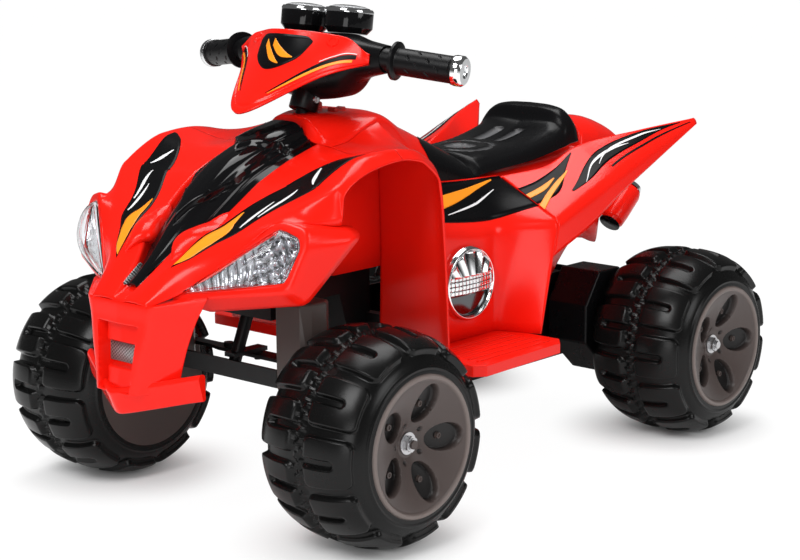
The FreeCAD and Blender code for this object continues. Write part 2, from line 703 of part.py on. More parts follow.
# Bonnet insert in the channel of the cowl
hood_shares = (
    (-1.83, ((0, 1.995), (0.02, 1.994), (0.03, 1.992), (0.06, 1.985), (0.1, 1.963))),
    (-1.61, ((0, 2.15), (0.05, 2.147), (0.07, 2.13), (0.11, 2.115), (0.155, 2.065))),
    (-0.85, ((0, 2.86), (0.13, 2.85), (0.19, 2.78), (0.33, 2.73), (0.485, 2.569))),
    (-0.1, ((0, 3.4), (0.17, 3.39), (0.25, 3.3), (0.42, 3.26), (0.585, 3.129))),
    (0.57, ((0, 3.63), (0.2, 3.62), (0.28, 3.54), (0.44, 3.5), (0.585, 3.409))),
    (seam_share - 0.02, ((0, 3.74), (0.2, 3.73), (0.28, 3.66), (0.42, 3.63), (0.545, 3.541))),
)
keep(solid("hood_insert", moulded([(front_y(a), row) for a, row in hood_shares], wall)))

# Nose: upright mask with the grille window, and the prow lip at its foot
mask_top_share = 1.742
mask_shares = (
    (mask_top_share, ((0, -2.085), (0.52, -2.08), (0.74, -1.62))),
    (1.53, ((0, -2.095), (0.51, -2.09), (0.72, -1.62))),
    (0.66, ((0, -2.22), (0.42, -2.2), (0.62, -1.68))),
)
lip_end_shares = ((-1.62, 0.48), (-1.7, 0.8), (-1.66, 0.86), (-1.58, 0.84), (-1.58, 0.5))
lip_shares = (
    (-1.08, lip_end_shares),
    (0.0, ((-2.16, 0.24), (-2.3, 0.56), (-2.26, 0.62), (-1.86, 0.6), (-1.86, 0.28))),
    (1.08, lip_end_shares),
)
mask_rings = []
for height, shares in mask_shares:
    half = [(float(wide(u)), float(front_y(v))) for u, v in shares]
    mask_rings.append([Vector(u, v, float(rise(height))) for u, v in band(both_halves(half), -wall)])
mask = solid("nose_mask", loft(mask_rings))
lid_line = both_halves([(float(wide(u)), float(front_y(v))) for u, v in mask_shares[0][1]])
lid_flat = [Vector(u, v, float(rise(mask_top_share))) for u, v in lid_line]
lid_face = Part.Face(wire(lid_flat))
lid = solid("nose_lid", lid_face.extrude(Vector(0, 0, -wall)))
lip = solid("nose_lip", loft([[spot(x, v, z) for v, z in shares] for x, shares in lip_shares]))
window = new_body("grille_window")
grille_window_shares = ((-0.27, 0.72), (0.27, 0.72), (0.4, 1.5), (-0.4, 1.5))
window_line = [(wide(u), rise(v)) for u, v in grille_window_shares]
pad(window, outline(window, "XZ_Plane", window_line), 2 * S.shell_wall + 3 * S.overrun, True)
place(window, 0.0, front_y(mask_shares[-1][1][0][1]), 0.0)
nose = joined("nose_all", [mask, lid, lip])
keep(cut("front_bumper", nose, [window]))
grille = new_body("grille_panel")
grille_top_share = mask_top_share - float((S.shell_wall + S.part_gap) / rise_unit)
grille_shares = ((-2.03, grille_top_share), (-2.03, 1.2), (-1.95, 1.1), (-1.95, 0.94))
grille_shares += ((-2.03, 0.9), (-2.03, 0.76), (-1.88, 0.76), (-1.88, grille_top_share))
grille_line = [(front_y(u), rise(v)) for u, v in grille_shares]
grille_width_share = 0.84
pad(grille, outline(grille, "YZ_Plane", grille_line), wide(grille_width_share), True)
keep(grille)

# Leg shields behind the front wheels
shield_foot = board_top + S.part_gap
shield_shares = (
    (0.88, ((seam_share, 3.58), (1.4, 3.62), (1.78, 3.78), (2.04, 3.86), (2.13, 2.0), (2.1, 0.0))),
    (1.35, ((seam_share, 3.5), (1.42, 3.56), (1.78, 3.64), (2.0, 3.58), (2.11, 2.15), (2.1, 0.0))),
    (2.07, ((seam_share, 3.66), (1.45, 3.62), (1.75, 3.48), (1.95, 3.28), (2.06, 2.3), (2.09, 0.0))),
    (2.22, ((seam_share, 3.52), (1.45, 3.47), (1.69, 3.33), (1.88, 3.12), (1.98, 2.3), (2.08, 0.0))),
)
shield_lines = []
for x, shares in shield_shares:
    line = [(float(front_y(u)) + gap * (i == 0), float(rise(v))) for i, (u, v) in enumerate(shares)]
    line[-1] = (line[-1][0], float(shield_foot))
    inner = inset(line, wall)
    inner[0] = (line[0][0], inner[0][1])
    inner[-1] = (inner[-1][0], float(shield_foot))
    across = float(wide(x))
    shield_lines.append([[Vector(across, u, v) for u, v in side] for side in (line, inner)])
shield_rings = []
for i in range(len(shield_shares[0][1])):
    ring = [outer[i] for outer, _ in shield_lines]
    shield_rings.append(ring + [inner[i] for _, inner in shield_lines[::-1]])
leg_shield = keep(solid("left_leg_shield", loft(eased(shield_rings))))
keep(mirrored("right_leg_shield", leg_shield))

# Tank cover between the stem and the saddle
tank_edge_share = 0.875
tank_top_share = 3.98
tank_foot_shares = (tank_edge_share, 1.72)
tank_front = front_y(seam_share) + S.part_gap
crown_shares = ((0, tank_top_share), (0.4, tank_top_share))
tank_shares = (
    (tank_front, ((0, 3.7), (0.3, 3.69), (0.45, 3.63), (0.62, 3.6), (tank_edge_share, 3.58))),
    (front_y(1.22), ((0, 3.95), (0.3, 3.94), (0.46, 3.8), (0.62, 3.68), (tank_edge_share, 3.6))),
    (front_y(1.65), crown_shares + ((0.62, 3.86), (0.75, 3.79), (tank_edge_share, 3.72))),
    (cabin_y(0.02), crown_shares + ((0.66, 3.95), (0.78, 3.92), (tank_edge_share, 3.86))),
    (cabin_y(0.87), ((0, 3.7), (0.36, 3.68), (0.64, 3.56), (0.78, 3.4), (tank_edge_share, 3.2))),
    (cabin_y(2.16), ((0, 3.12), (0.34, 3.1), (0.62, 2.99), (0.76, 2.9), (tank_edge_share, 2.78))),
)
tank_rows = [(y, row + (tank_foot_shares,)) for y, row in tank_shares]
tank_shell = solid("tank_shell", moulded(tank_rows, wall))
stem_radius = 1.9 * S.column_radius
stem_clear = stem_radius + S.loose_gap
stem_hole = rod("stem_hole", stem_clear, column_length, 0.0, front_axle, foot_z, column_turn)
tank_top = rise(tank_top_share)
stem_lean = math.tan(math.radians(float(S.column_rake)))
switch_side_share = 0.2
switch_y = front_axle + (tank_top - foot_z) * stem_lean + S.switch_stand
rocker_slot = new_body("rocker_slot")
slot_x = wide(switch_side_share)
slot_half = S.switch_length / 2 + S.part_gap
slot_wide = S.switch_width / 2 + S.part_gap
slot = box_points(slot_x - slot_wide, slot_x + slot_wide, -slot_half, slot_half)
pad(rocker_slot, outline(rocker_slot, "XY_Plane", slot), 2 * (S.shell_wall + S.overrun), True)
place(rocker_slot, 0.0, switch_y, tank_top)
button_clear = S.button_radius + S.running_fit
power_low = tank_top - S.shell_wall - S.overrun
power_depth = S.shell_wall + 2 * S.overrun
power_hole = rod("power_hole", button_clear, power_depth, -slot_x, switch_y, power_low)
keep(cut("tank_cover", tank_shell, [stem_hole, rocker_slot, power_hole]))


def button(label, x, y, z, turn=None):
    """A push button with a shallow domed head."""
    body = new_body(label)
    head_shares = ((0.0, -1.0), (1.0, -1.0), (1.0, 0.8), (0.8, 1.0), (0.0, 1.0))
    turned(body, [(a * S.button_radius, b * S.button_height) for a, b in head_shares])
    place(body, x, y, z, turn)
    return keep(body)


button("power_switch", -slot_x, switch_y, tank_top)
rocker = new_body("gear_switch")
rocker_radius = S.switch_length / 2
pad(rocker, rounds(rocker, "YZ_Plane", [(0.0, 0.0, rocker_radius)]), S.switch_width, True)
doc.recompute()
rocker_shares = ((-1.1, 0.55), (-0.5, 0.42), (0.0, 0.16), (0.5, 0.42), (1.1, 0.55), (1.1, 1.2), (-1.1, 1.2))
rocker_top = [(u * rocker_radius, v * rocker_radius) for u, v in rocker_shares]
pocket(rocker, outline(rocker, "YZ_Plane", rocker_top), None, True)
place(rocker, slot_x, switch_y, tank_top - 0.4 * S.shell_wall)
keep(rocker)

# Side panels with the flare ahead of the rear wheels, and the trim on them
lean_share = 0.25
flare_foot = float(board_top)
panel_foot_share = level_shares["board_top"] + float(2 * S.part_gap / rise_unit)
wall_share = 1.52
panel_shares = (
    (cabin_y(0.075), ((0.92, 2.98), (1.4, 2.5), (1.35, panel_foot_share))),
    (cabin_y(0.54), ((0.92, 2.9), (wall_share, 2.24), (wall_share, panel_foot_share))),
    (cabin_y(1.77), ((0.92, 2.81), (wall_share, 2.1), (wall_share, panel_foot_share))),
    (cabin_y(2.08), ((0.92, 2.78), (2.2, 2.22), (2.2, panel_foot_share))),
)
panel_rings = []
for i, (y, shares) in enumerate(panel_shares):
    panel_rings.append(ring_at(band(scaled(shares), wall), y, lean_share if i == 3 else 0.0, flare_foot))
side_panel = keep(solid("left_side_panel", loft(panel_rings)))
keep(mirrored("right_side_panel", side_panel))

trim = new_body("left_engine_trim")
trim_shares = ((0.93, 0.0), (1.0, 0.0), (1.0, 0.55), (0.9, 0.8))
trim_shares += ((0.78, 0.6), (0.62, 0.6), (0.5, 0.95), (0.3, 1.0), (0.0, 1.0))
trim_shares += ((0.0, 0.8), (0.44, 0.76), (0.58, 0.4), (0.82, 0.4), (0.93, 0.5))
turned(trim, [(a * S.trim_radius, b * S.trim_depth) for a, b in trim_shares])
trim_place_shares = (1.14, 1.4)
trim_y, trim_z = cabin_y(trim_place_shares[0]), rise(trim_place_shares[1])
place(trim, wide(wall_share) + S.part_gap, trim_y, trim_z, ALONG_X)
keep(trim)
keep(mirrored("right_engine_trim", trim))

# Foot boards with ribbed treads
board = new_body("left_footboard")
board_in = S.pan_half + S.part_gap
board_shares = {"front": 2.06, "corner": 0.08, "rear_corner": 1.86, "rear": 2.03}
board_front = front_y(board_shares["front"])
board_rear = cabin_y(board_shares["rear"])
board_plan = [(board_in, board_front), (0.95 * S.board_half, board_front)]
board_plan += [(S.board_half, cabin_y(board_shares["corner"]))]
board_plan += [(0.98 * S.board_half, cabin_y(board_shares["rear_corner"]))]
board_plan += [(0.93 * S.board_half, board_rear), (board_in, board_rear)]
pad(board, outline(board, "XY_Plane", board_plan, board_top - S.board_thick), S.board_thick)
rib_shares = (0.14, 1.8)
rib_start = 0.93 * S.board_half - S.rib_width
rib = box_points(rib_start, rib_start + S.rib_width, cabin_y(rib_shares[0]), cabin_y(rib_shares[1]))
rib_pad = pad(board, outline(board, "XY_Plane", rib, board_top), S.rib_height)
ribs = board.newObject("PartDesign::LinearPattern", "board_ribs")
ribs.Originals = [rib_pad]
ribs.Direction = (rib_pad.Profile[0], ["H_Axis"])
ribs.Reversed = True
bind(ribs, Length=5 * S.rib_pitch)
ribs.Occurrences = 6
board.Tip = ribs
doc.recompute()
relief_shares = (0.1, 1.95)
relief_y = [cabin_y(share) for share in relief_shares]
relief = box_points(board_in + 2 * S.shell_wall, 0.87 * S.board_half, *relief_y)
relief_line = outline(board, "XY_Plane", relief, board_top - S.board_thick)
pocket(board, relief_line, S.board_thick - S.shell_wall, False, True)
keep(board)
keep(mirrored("right_footboard", board))

# Accelerator pedal on the right foot board
pedal_place_shares = (-2.12, 1.6)
pedal_x = wide(pedal_place_shares[0])
hinge_y = cabin_y(pedal_place_shares[1])
base_z = board_top + S.rib_height + S.part_gap
hinge_z = base_z + S.shell_wall + S.pedal_lift
pedal_base = new_body("pedal_base")
ear_in = S.pedal_width / 2 + S.part_gap
ear_out = ear_in + S.ear_thick
plate = box_points(-ear_out, ear_out, -1.6 * S.pedal_lift, 1.6 * S.pedal_lift)
pad(pedal_base, outline(pedal_base, "XY_Plane", plate, -S.pedal_lift - S.shell_wall), S.shell_wall)
ear_shares = ((-0.9, -1.0), (0.9, -1.0), (0.8, 0.4), (0.4, 0.9), (-0.4, 0.9), (-0.8, 0.4))
ear_line = [(u * S.pedal_lift, v * S.pedal_lift) for u, v in ear_shares]
pad(pedal_base, outline(pedal_base, "YZ_Plane", ear_line, ear_in), S.ear_thick)
pad(pedal_base, outline(pedal_base, "YZ_Plane", ear_line, -ear_out), S.ear_thick)
pad(pedal_base, rounds(pedal_base, "YZ_Plane", [(0.0, 0.0, S.pedal_pin)]), 2 * ear_out, True)
place(pedal_base, pedal_x, hinge_y, hinge_z)
keep(pedal_base)
pedal = new_body("pedal")
sole = box_points(-S.pedal_length, 0.0, -S.pedal_thick / 2, S.pedal_thick / 2)
pad(pedal, outline(pedal, "YZ_Plane", sole), S.pedal_width, True)
pad(pedal, rounds(pedal, "YZ_Plane", [(0.0, 0.0, 0.75 * S.pedal_lift)]), S.pedal_width, True)
bar_end = -0.96 * S.pedal_length
grip_bar = box_points(bar_end, 0.94 * bar_end, S.pedal_thick / 2, S.pedal_thick * 0.8)
bar = pad(pedal, outline(pedal, "YZ_Plane", grip_bar), 0.9 * S.pedal_width, True)
bars = pedal.newObject("PartDesign::LinearPattern", "pedal_bars")
bars.Originals = [bar]
bars.Direction = (bar.Profile[0], ["H_Axis"])
bind(bars, Length=0.7 * S.pedal_length)
bars.Occurrences = 6
pedal.Tip = bars
doc.recompute()
pocket(pedal, rounds(pedal, "YZ_Plane", [(0.0, 0.0, S.pedal_pin + S.running_fit)]), None, True)
place(pedal, pedal_x, hinge_y, hinge_z, Rotation(Vector(1, 0, 0), -float(S.pedal_tilt)))
keep(pedal)

# Rear body with the saddle deck and the tail hump
deck_foot_share = float((pan_top + S.part_gap - axle_height) / rise_unit)
body_shares = (
    (cabin_y(2.18), ((0, 2.74), (0.5, 2.75), (0.83, 2.72), (0.845, 2.45), (0.845, deck_foot_share))),
    (rear_y(1.12), ((0, 2.8), (0.5, 2.82), (0.88, 2.82), (0.9, 2.46), (0.845, deck_foot_share))),
    (rear_y(2.38), ((0, 2.96), (0.5, 2.98), (0.9, 3.02), (0.94, 2.6), (0.86, 1.5))),
    (rear_y(2.56), ((0, 3.4), (0.5, 3.42), (0.88, 3.22), (0.94, 2.7), (0.86, 1.6))),
    (rear_y(3.82), ((0, 3.18), (0.45, 3.18), (0.78, 3.02), (0.86, 2.7), (0.7, 1.95))),
)
rear_shell = loft(mould_rings(body_shares, wall))
tail_line = both_halves(scaled(body_shares[-1][1]))
tail_y = body_shares[-1][0]
tail_end = loft([ring_at(tail_line, tail_y), ring_at(tail_line, tail_y + S.shell_wall)])
keep(solid("rear_body", rear_shell.fuse(tail_end).removeSplitter()))

# Rear wings
wing_shares = (
    (cabin_y(2.08) + S.part_gap, ((0.93, 2.55), (0.95, 2.78), (2.2, 2.22), (2.2, 1.7))),
    (rear_y(0.97), ((1.02, 2.45), (1.31, 2.9), (2.22, 2.53), (2.24, 2.08))),
    (rear_y(1.67), ((1.08, 2.55), (1.41, 3.16), (2.24, 2.8), (2.26, 2.46))),
    (rear_y(2.62), ((1.45, 2.95), (1.86, 3.34), (2.27, 3.12), (2.29, 2.9))),
    (rear_y(3.65), ((2.2, 3.4), (2.27, 3.48), (2.32, 3.44), (2.34, 3.38))),
)
wing_rings = []
for i, (y, shares) in enumerate(wing_shares):
    wing_rings.append(ring_at(band(scaled(shares), wall), y, lean_share if i == 0 else 0.0, flare_foot))
wing = keep(solid("left_wing", loft(eased(wing_rings))))
keep(mirrored("right_wing", wing))

# Tail lamps
lamp = new_body("left_tail_lamp")
lamp_shares = ((0.0, 0.0), (0.7, 0.0), (0.95, 0.1), (1.0, 0.3))
lamp_shares += ((1.0, 0.85), (0.9, 0.95), (0.5, 1.0), (0.0, 1.0))
turned(lamp, [(a * S.lamp_radius, b * S.lamp_length) for a, b in lamp_shares])
lamp_place_shares = (0.972, 3.2, 1.66)
lamp_x, lamp_y = wide(lamp_place_shares[0]), rear_y(lamp_place_shares[1])
lamp_turn = Rotation(Vector(1, 0, 0), -float(S.lamp_tilt))
place(lamp, lamp_x, lamp_y, rise(lamp_place_shares[2]), lamp_turn)
keep(lamp)
keep(mirrored("right_tail_lamp", lamp))


def deck_row(first, second, share):
    return [tuple(a + share * (b - a) for a, b in zip(p, q)) for p, q in zip(first, second)]


# Saddle on the deck
deck = [row[1][:3] for row in body_shares[:3]]
lift = float(3 * S.part_gap / rise_unit)
saddle_shares = (
    (cabin_y(2.19), 0.01, 0, ((0, 2.98), (0.3, 2.97), (0.55, 2.9), (0.72, 2.8), (0.76, 2.77))),
    (rear_y(0.02), 0.147, 0, ((0, 3.14), (0.34, 3.12), (0.62, 3.06), (0.8, 2.92), (0.86, 2.83))),
    (rear_y(1.12), 0.0, 1, ((0, 3.16), (0.36, 3.19), (0.66, 3.18), (0.86, 3.06), (0.92, 2.92))),
    (rear_y(1.92), 0.635, 1, ((0, 3.36), (0.38, 3.4), (0.68, 3.38), (0.88, 3.22), (0.94, 3.05))),
    (rear_y(2.24), 0.889, 1, ((0, 3.64), (0.4, 3.67), (0.7, 3.62), (0.88, 3.4), (0.94, 3.1))),
    (rear_y(2.36), 0.984, 1, ((0, 3.6), (0.4, 3.62), (0.68, 3.56), (0.86, 3.36), (0.92, 3.11))),
)
saddle_rings = []
hollow_rings = []
skin = float(1.5 * S.shell_wall / rise_unit)
for i, (y, share, first, top) in enumerate(saddle_shares):
    under = deck_row(deck[first], deck[first + 1], share)
    low = [(min(u, top[-1][0] - 0.01), v + lift) for u, v in under]
    half = scaled(list(top) + low[::-1])
    saddle_rings.append(ring_at(half + [(-u, v) for u, v in half[-2:0:-1]], y))
    inner = [(0.93 * u, v - skin) for u, v in top[:4]] + [(0.93 * u, v - 2 * skin) for u, v in low[::-1]]
    half = scaled(inner)
    shift = 3 * wall * ((i == 0) - (i == len(saddle_shares) - 1))
    hollow_rings.append(ring_at(half + [(-u, v) for u, v in half[-2:0:-1]], float(y) + shift))
saddle_block = solid("saddle_block", loft(eased(saddle_rings)))
saddle_hollow = solid("saddle_hollow", loft(eased(hollow_rings)))
keep(cut("saddle", saddle_block, [saddle_hollow]))

# Steering column, handlebar and what it carries
column_rod = rod("column_rod", S.column_radius, column_length, 0.0, front_axle, foot_z, column_turn)
crank = new_body("crank")
crank_low = S.rod_thick + S.crank_gap
crank_half = S.crank_width / 2
crank_plan = box_points(-crank_half, crank_half, -crank_half, S.steer_arm + crank_half)
pad(crank, outline(crank, "XY_Plane", crank_plan, crank_low), S.crank_thick)
crank_pin = rounds(crank, "XY_Plane", [(0.0, S.steer_arm, S.pin_radius)], -S.rod_thick)
pad(crank, crank_pin, S.rod_thick + crank_low + S.crank_thick)
place(crank, 0.0, front_axle, foot_z)
keep(joined("steering_column", [column_rod, crank]))


def eight(x, along, z, deep, high):
    """An eight-sided section across the handlebar housing."""
    corner_shares = [(1, 0.45), (0.55, 1), (-0.55, 1), (-1, 0.45)]
    corner_shares += [(u, -v) for u, v in corner_shares[::-1]]
    return [spot(x, along + deep * u, z + high * v) for u, v in corner_shares]


bar_shares = ((1.4, 1.71, 4.78, 0.19, 0.19), (1.0, 1.71, 4.76, 0.26, 0.27))
bar_shares += ((0.62, 1.74, 4.68, 0.36, 0.4), (0.0, 1.72, 4.64, 0.4, 0.44))
bar_rows = [(-x, a, z, d, h) for x, a, z, d, h in bar_shares] + list(bar_shares[-2::-1])
bar_shell = solid("bar_shell", loft(eased([eight(*row) for row in bar_rows])))
stem_low = tank_top + 2 * S.loose_gap
stem_y = front_axle + (stem_low - foot_z) * stem_lean
stem = rod("stem", stem_radius, S.stem_length, 0.0, stem_y, stem_low, column_turn)
grip_shares = ((1.4, 1.7, 4.78), (2.44, 2.0, 4.66))
grip_turn = Rotation(Vector(0, 0, 1), spot(*grip_shares[1]) - spot(*grip_shares[0]))
bar_radius = 0.6 * S.grip_radius
grip_x = wide(grip_shares[0][0])
grip_y = front_y(grip_shares[0][1])
grip_z = rise(grip_shares[0][2])
bar_reach = S.grip_stand + S.grip_length
left_bar = rod("left_bar", bar_radius, bar_reach, grip_x, grip_y, grip_z, grip_turn)
right_bar = mirrored("right_bar", left_bar)
guard_shares = (
    (1.26, ((1.47, 4.8), (1.48, 4.84), (1.46, 4.9))),
    (0.88, ((1.08, 4.6), (1.25, 4.87), (1.42, 5.08))),
    (0.0, ((0.14, 4.08), (0.82, 4.72), (1.06, 5.18))),
    (-0.88, ((1.08, 4.6), (1.25, 4.87), (1.42, 5.08))),
    (-1.26, ((1.47, 4.8), (1.48, 4.84), (1.46, 4.9))),
)
guard_rings = []
for x, shares in guard_shares:
    line = [(float(front_y(u)), float(rise(v))) for u, v in shares]
    guard_rings.append([Vector(float(wide(x)), u, v) for u, v in band(line, 2 * wall)])
guard = keep(solid("steering_shield", loft(eased(guard_rings))))
post_shares = ((0.62, 1.3, 4.93), (0.62, 1.6, 4.93))
post_y = front_y(post_shares[0][1])
post_length = front_y(post_shares[1][1]) - post_y
post_x, post_z = wide(post_shares[0][0]), rise(post_shares[0][2])
left_post = rod("left_post", S.button_radius, post_length, post_x, post_y, post_z, ALONG_Y)
right_post = mirrored("right_post", left_post)
bar_parts = [bar_shell, stem, left_bar, right_bar, left_post, right_post]
bar_all = joined("bar_all", bar_parts)
horn_shares = bar_shares[1]
horn_x = wide(horn_shares[0])
horn_y = front_y(horn_shares[1] + horn_shares[3])
horn_z = rise(horn_shares[2])
horn_low = horn_y - 2 * S.button_height
horn_depth = 2 * S.button_height + S.overrun
horn_hole = rod("horn_hole", button_clear, horn_depth, horn_x, horn_low, horn_z, ALONG_Y)
music_hole = mirrored("music_hole", horn_hole)
keep(cut("handlebar_housing", bar_all, [column_rod, guard, horn_hole, music_hole]))
button("horn_button", horn_x, horn_y, horn_z, ALONG_Y)
button("music_button", -horn_x, horn_y, horn_z, ALONG_Y)

gauge = new_body("left_gauge")
gauge_shares = ((0.0, 0.0), (0.8, 0.0), (1.0, 0.25), (1.0, 1.0))
gauge_shares += ((0.88, 1.0), (0.86, 0.93), (0.0, 0.93))
turned(gauge, [(a * S.gauge_radius, b * S.gauge_height) for a, b in gauge_shares])
gauge_half = (S.gauge_radius + S.part_gap) * 1.22
gauge_place_shares = (1.93, 5.08)
gauge_z = rise(gauge_place_shares[1]) + S.part_gap
gauge_turn = Rotation(Vector(1, 0, 0), -float(S.gauge_tilt))
place(gauge, gauge_half, front_y(gauge_place_shares[0]), gauge_z, gauge_turn)
right_gauge = mirrored("right_gauge", gauge)
keep(group("gauges", [gauge, right_gauge]))

grip = new_body("left_grip")
grip_bore = bar_radius + S.running_fit
flange = 0.16 * S.grip_length / 2
grip_line = [(grip_bore, S.grip_stand), (S.flange_radius, S.grip_stand)]
grip_line += [(S.flange_radius, S.grip_stand + flange)]
grip_line += [(S.grip_radius, S.grip_stand + 1.4 * flange), (S.grip_radius, S.grip_stand + S.grip_length)]
grip_line += [(grip_bore, S.grip_stand + S.grip_length)]
turned(grip, grip_line)
place(grip, grip_x, grip_y, grip_z, grip_turn)
keep(grip)
keep(mirrored("right_grip", grip))
cap = new_body("left_cap")
cap_start = S.grip_stand + S.grip_length + S.part_gap
cap_shares = ((0.0, 0.0), (1.12, 0.0), (1.12, 0.7), (0.95, 1.0))
cap_shares += ((0.5, 1.0), (0.45, 0.8), (0.0, 0.8))
turned(cap, [(a * S.grip_radius, cap_start + b * S.cap_length) for a, b in cap_shares])
place(cap, grip_x, grip_y, grip_z, grip_turn)
right_cap = mirrored("right_cap", cap)
keep(group("grip_caps", [cap, right_cap]))

doc.recompute()
faults = [o.Label for o in doc.Objects if "Invalid" in o.State or "Error" in o.State]
if faults:
    raise RuntimeError("not built: " + ", ".join(faults))
os.makedirs("parts", exist_ok=True)
for label, item in nodes.items():
    shape = item.Shape
    if shape.isNull() or not shape.isValid() or not shape.Solids:
        raise RuntimeError("shape not sound: " + label)
    shape.exportStep("parts/%s.step" % label)
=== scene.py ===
"""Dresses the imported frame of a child's electric quad bike: moulded shell, wheels, lamps and finishes."""

import json
import math
from collections import namedtuple

import bmesh
import bpy
import numpy as np
from bpy.props import FloatProperty, FloatVectorProperty, IntProperty, PointerProperty
from mathutils import Matrix, Vector


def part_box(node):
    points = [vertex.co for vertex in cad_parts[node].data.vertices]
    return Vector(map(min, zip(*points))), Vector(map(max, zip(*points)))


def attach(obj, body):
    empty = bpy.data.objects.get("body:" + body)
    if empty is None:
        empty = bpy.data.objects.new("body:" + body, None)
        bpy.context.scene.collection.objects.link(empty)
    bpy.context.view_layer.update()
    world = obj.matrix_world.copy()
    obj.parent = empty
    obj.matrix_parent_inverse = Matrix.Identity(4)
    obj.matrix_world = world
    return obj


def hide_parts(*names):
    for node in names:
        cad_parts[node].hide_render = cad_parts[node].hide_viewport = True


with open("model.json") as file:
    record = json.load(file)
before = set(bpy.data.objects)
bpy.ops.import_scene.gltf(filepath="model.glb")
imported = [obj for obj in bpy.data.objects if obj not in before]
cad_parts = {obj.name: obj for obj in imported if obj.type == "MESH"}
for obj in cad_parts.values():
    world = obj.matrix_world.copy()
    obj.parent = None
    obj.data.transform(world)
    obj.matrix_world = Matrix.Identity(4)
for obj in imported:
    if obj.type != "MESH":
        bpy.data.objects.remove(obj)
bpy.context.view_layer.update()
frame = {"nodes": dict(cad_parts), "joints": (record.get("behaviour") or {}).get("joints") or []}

bl_info = {
    "name": "Child's quad bike",
    "version": (1, 0, 0),
    "blender": (4, 5, 0),
    "location": "View3D > Sidebar > Quad bike",
    "description": "Moulded shell, wheels, lamps and finishes of a child's electric quad bike",
    "category": "Add Mesh",
}

NODES = frame["nodes"]
JOINTS = {joint["name"]: joint for joint in frame["joints"]}
LEFT, RIGHT = np.array([1.0, 1.0, 1.0]), np.array([-1.0, 1.0, 1.0])
SIDES = (("left", LEFT), ("right", RIGHT))
ACROSS = np.array([1.0, 0.0, 0.0])


def middle(node):
    """Centre of a CAD node's box."""
    low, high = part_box(node)
    return np.array((low + high) / 2)


FRONT_WHEEL = middle("front_left_tyre")
REAR_WHEEL = middle("rear_left_tyre")
TYRE_RADIUS = FRONT_WHEEL[2]
TYRE_HALF = float(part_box("front_left_tyre")[1].x - FRONT_WHEEL[0])


class QuadSizes(bpy.types.PropertyGroup):
    """Sizes of the dressed pieces"""

    outline_unit: FloatProperty(
        name="Outline unit", default=0.1, unit="LENGTH",
        description="Length in which the shell's outline shares are counted")
    wall: FloatProperty(
        name="Shell wall", default=0.0035, unit="LENGTH", description="Thickness of the mouldings")
    edge_radius: FloatProperty(
        name="Edge radius", default=0.006, unit="LENGTH", description="Rounding of the shell's creases")
    pad_count: IntProperty(name="Tyre pads", default=11, description="Paddle pads round each tyre side")
    pad_height: FloatProperty(
        name="Pad height", default=0.0085, unit="LENGTH", description="How far a tyre pad stands up")
    pocket_count: IntProperty(name="Disc pockets", default=5, description="Oval pockets in a wheel disc")
    pocket_depth: FloatProperty(
        name="Pocket depth", default=0.011, unit="LENGTH", description="Depth of a disc pocket")
    lens_bulge: FloatProperty(
        name="Lens bulge", default=0.026, unit="LENGTH", description="Height of a head lamp glass's dome")
    camera_lens: FloatProperty(
        name="Camera lens", default=84.2, unit="CAMERA", description="Focal length on a 36 mm sensor")


def colour(name, description, value):
    """A colour property with its default."""
    return FloatVectorProperty(
        name=name, description=description, default=value, subtype="COLOR", size=3, min=0, max=1)


class QuadColours(bpy.types.PropertyGroup):
    """Colours of the finishes"""

    red: colour("Red", "Glossy body mouldings", (0.82, 0.01, 0.004))
    black: colour("Black", "Black mouldings", (0.004, 0.004, 0.0045))
    tyre: colour("Tyre", "Blow-moulded tyres", (0.004, 0.004, 0.004))
    disc: colour("Disc", "Wheel discs and struts", (0.062, 0.046, 0.042))
    steel: colour("Steel", "Bare steel", (0.52, 0.52, 0.53))
    chrome: colour("Chrome", "Bright plating", (0.86, 0.87, 0.88))
    orange: colour("Orange", "Orange stripes", (0.9, 0.28, 0.01))
    pale: colour("Pale", "White and silver stripes", (0.75, 0.75, 0.76))


def sizes():
    """The scene's sizes."""
    return bpy.context.scene.quad_sizes


def colours():
    """The scene's colours."""
    return bpy.context.scene.quad_colours


Sheet = namedtuple("Sheet", "points loop_rows loop_columns inside", defaults=(False, False, None))


def place(shares):
    """Shares of the outline unit, across, along from the front axle and up from it, as points in metres."""
    return np.asarray(shares, float) * sizes().outline_unit + [0, FRONT_WHEEL[1], FRONT_WHEEL[2]]


def stations(table):
    """Rows (along, (across, up) ...) as points [row, point, 3] in metres."""
    return place([[(across, along, up) for across, up in line] for along, line in table])


def blend_step(value):
    """Smooth step from 0 to 1 over the unit interval, flat at both ends."""
    value = np.clip(value, 0, 1)
    return value * value * (3 - 2 * value)


def box_distance(x, y, half_x, half_y, corner):
    """Signed distance to a rectangle with round corners, negative inside."""
    dx, dy = np.abs(x) - half_x + corner, np.abs(y) - half_y + corner
    outer = np.hypot(np.maximum(dx, 0), np.maximum(dy, 0))
    return outer + np.minimum(np.maximum(dx, dy), 0) - corner


def full_turn(count):
    """Angles evenly round a circle."""
    return np.linspace(0, 2 * math.pi, count, endpoint=False)


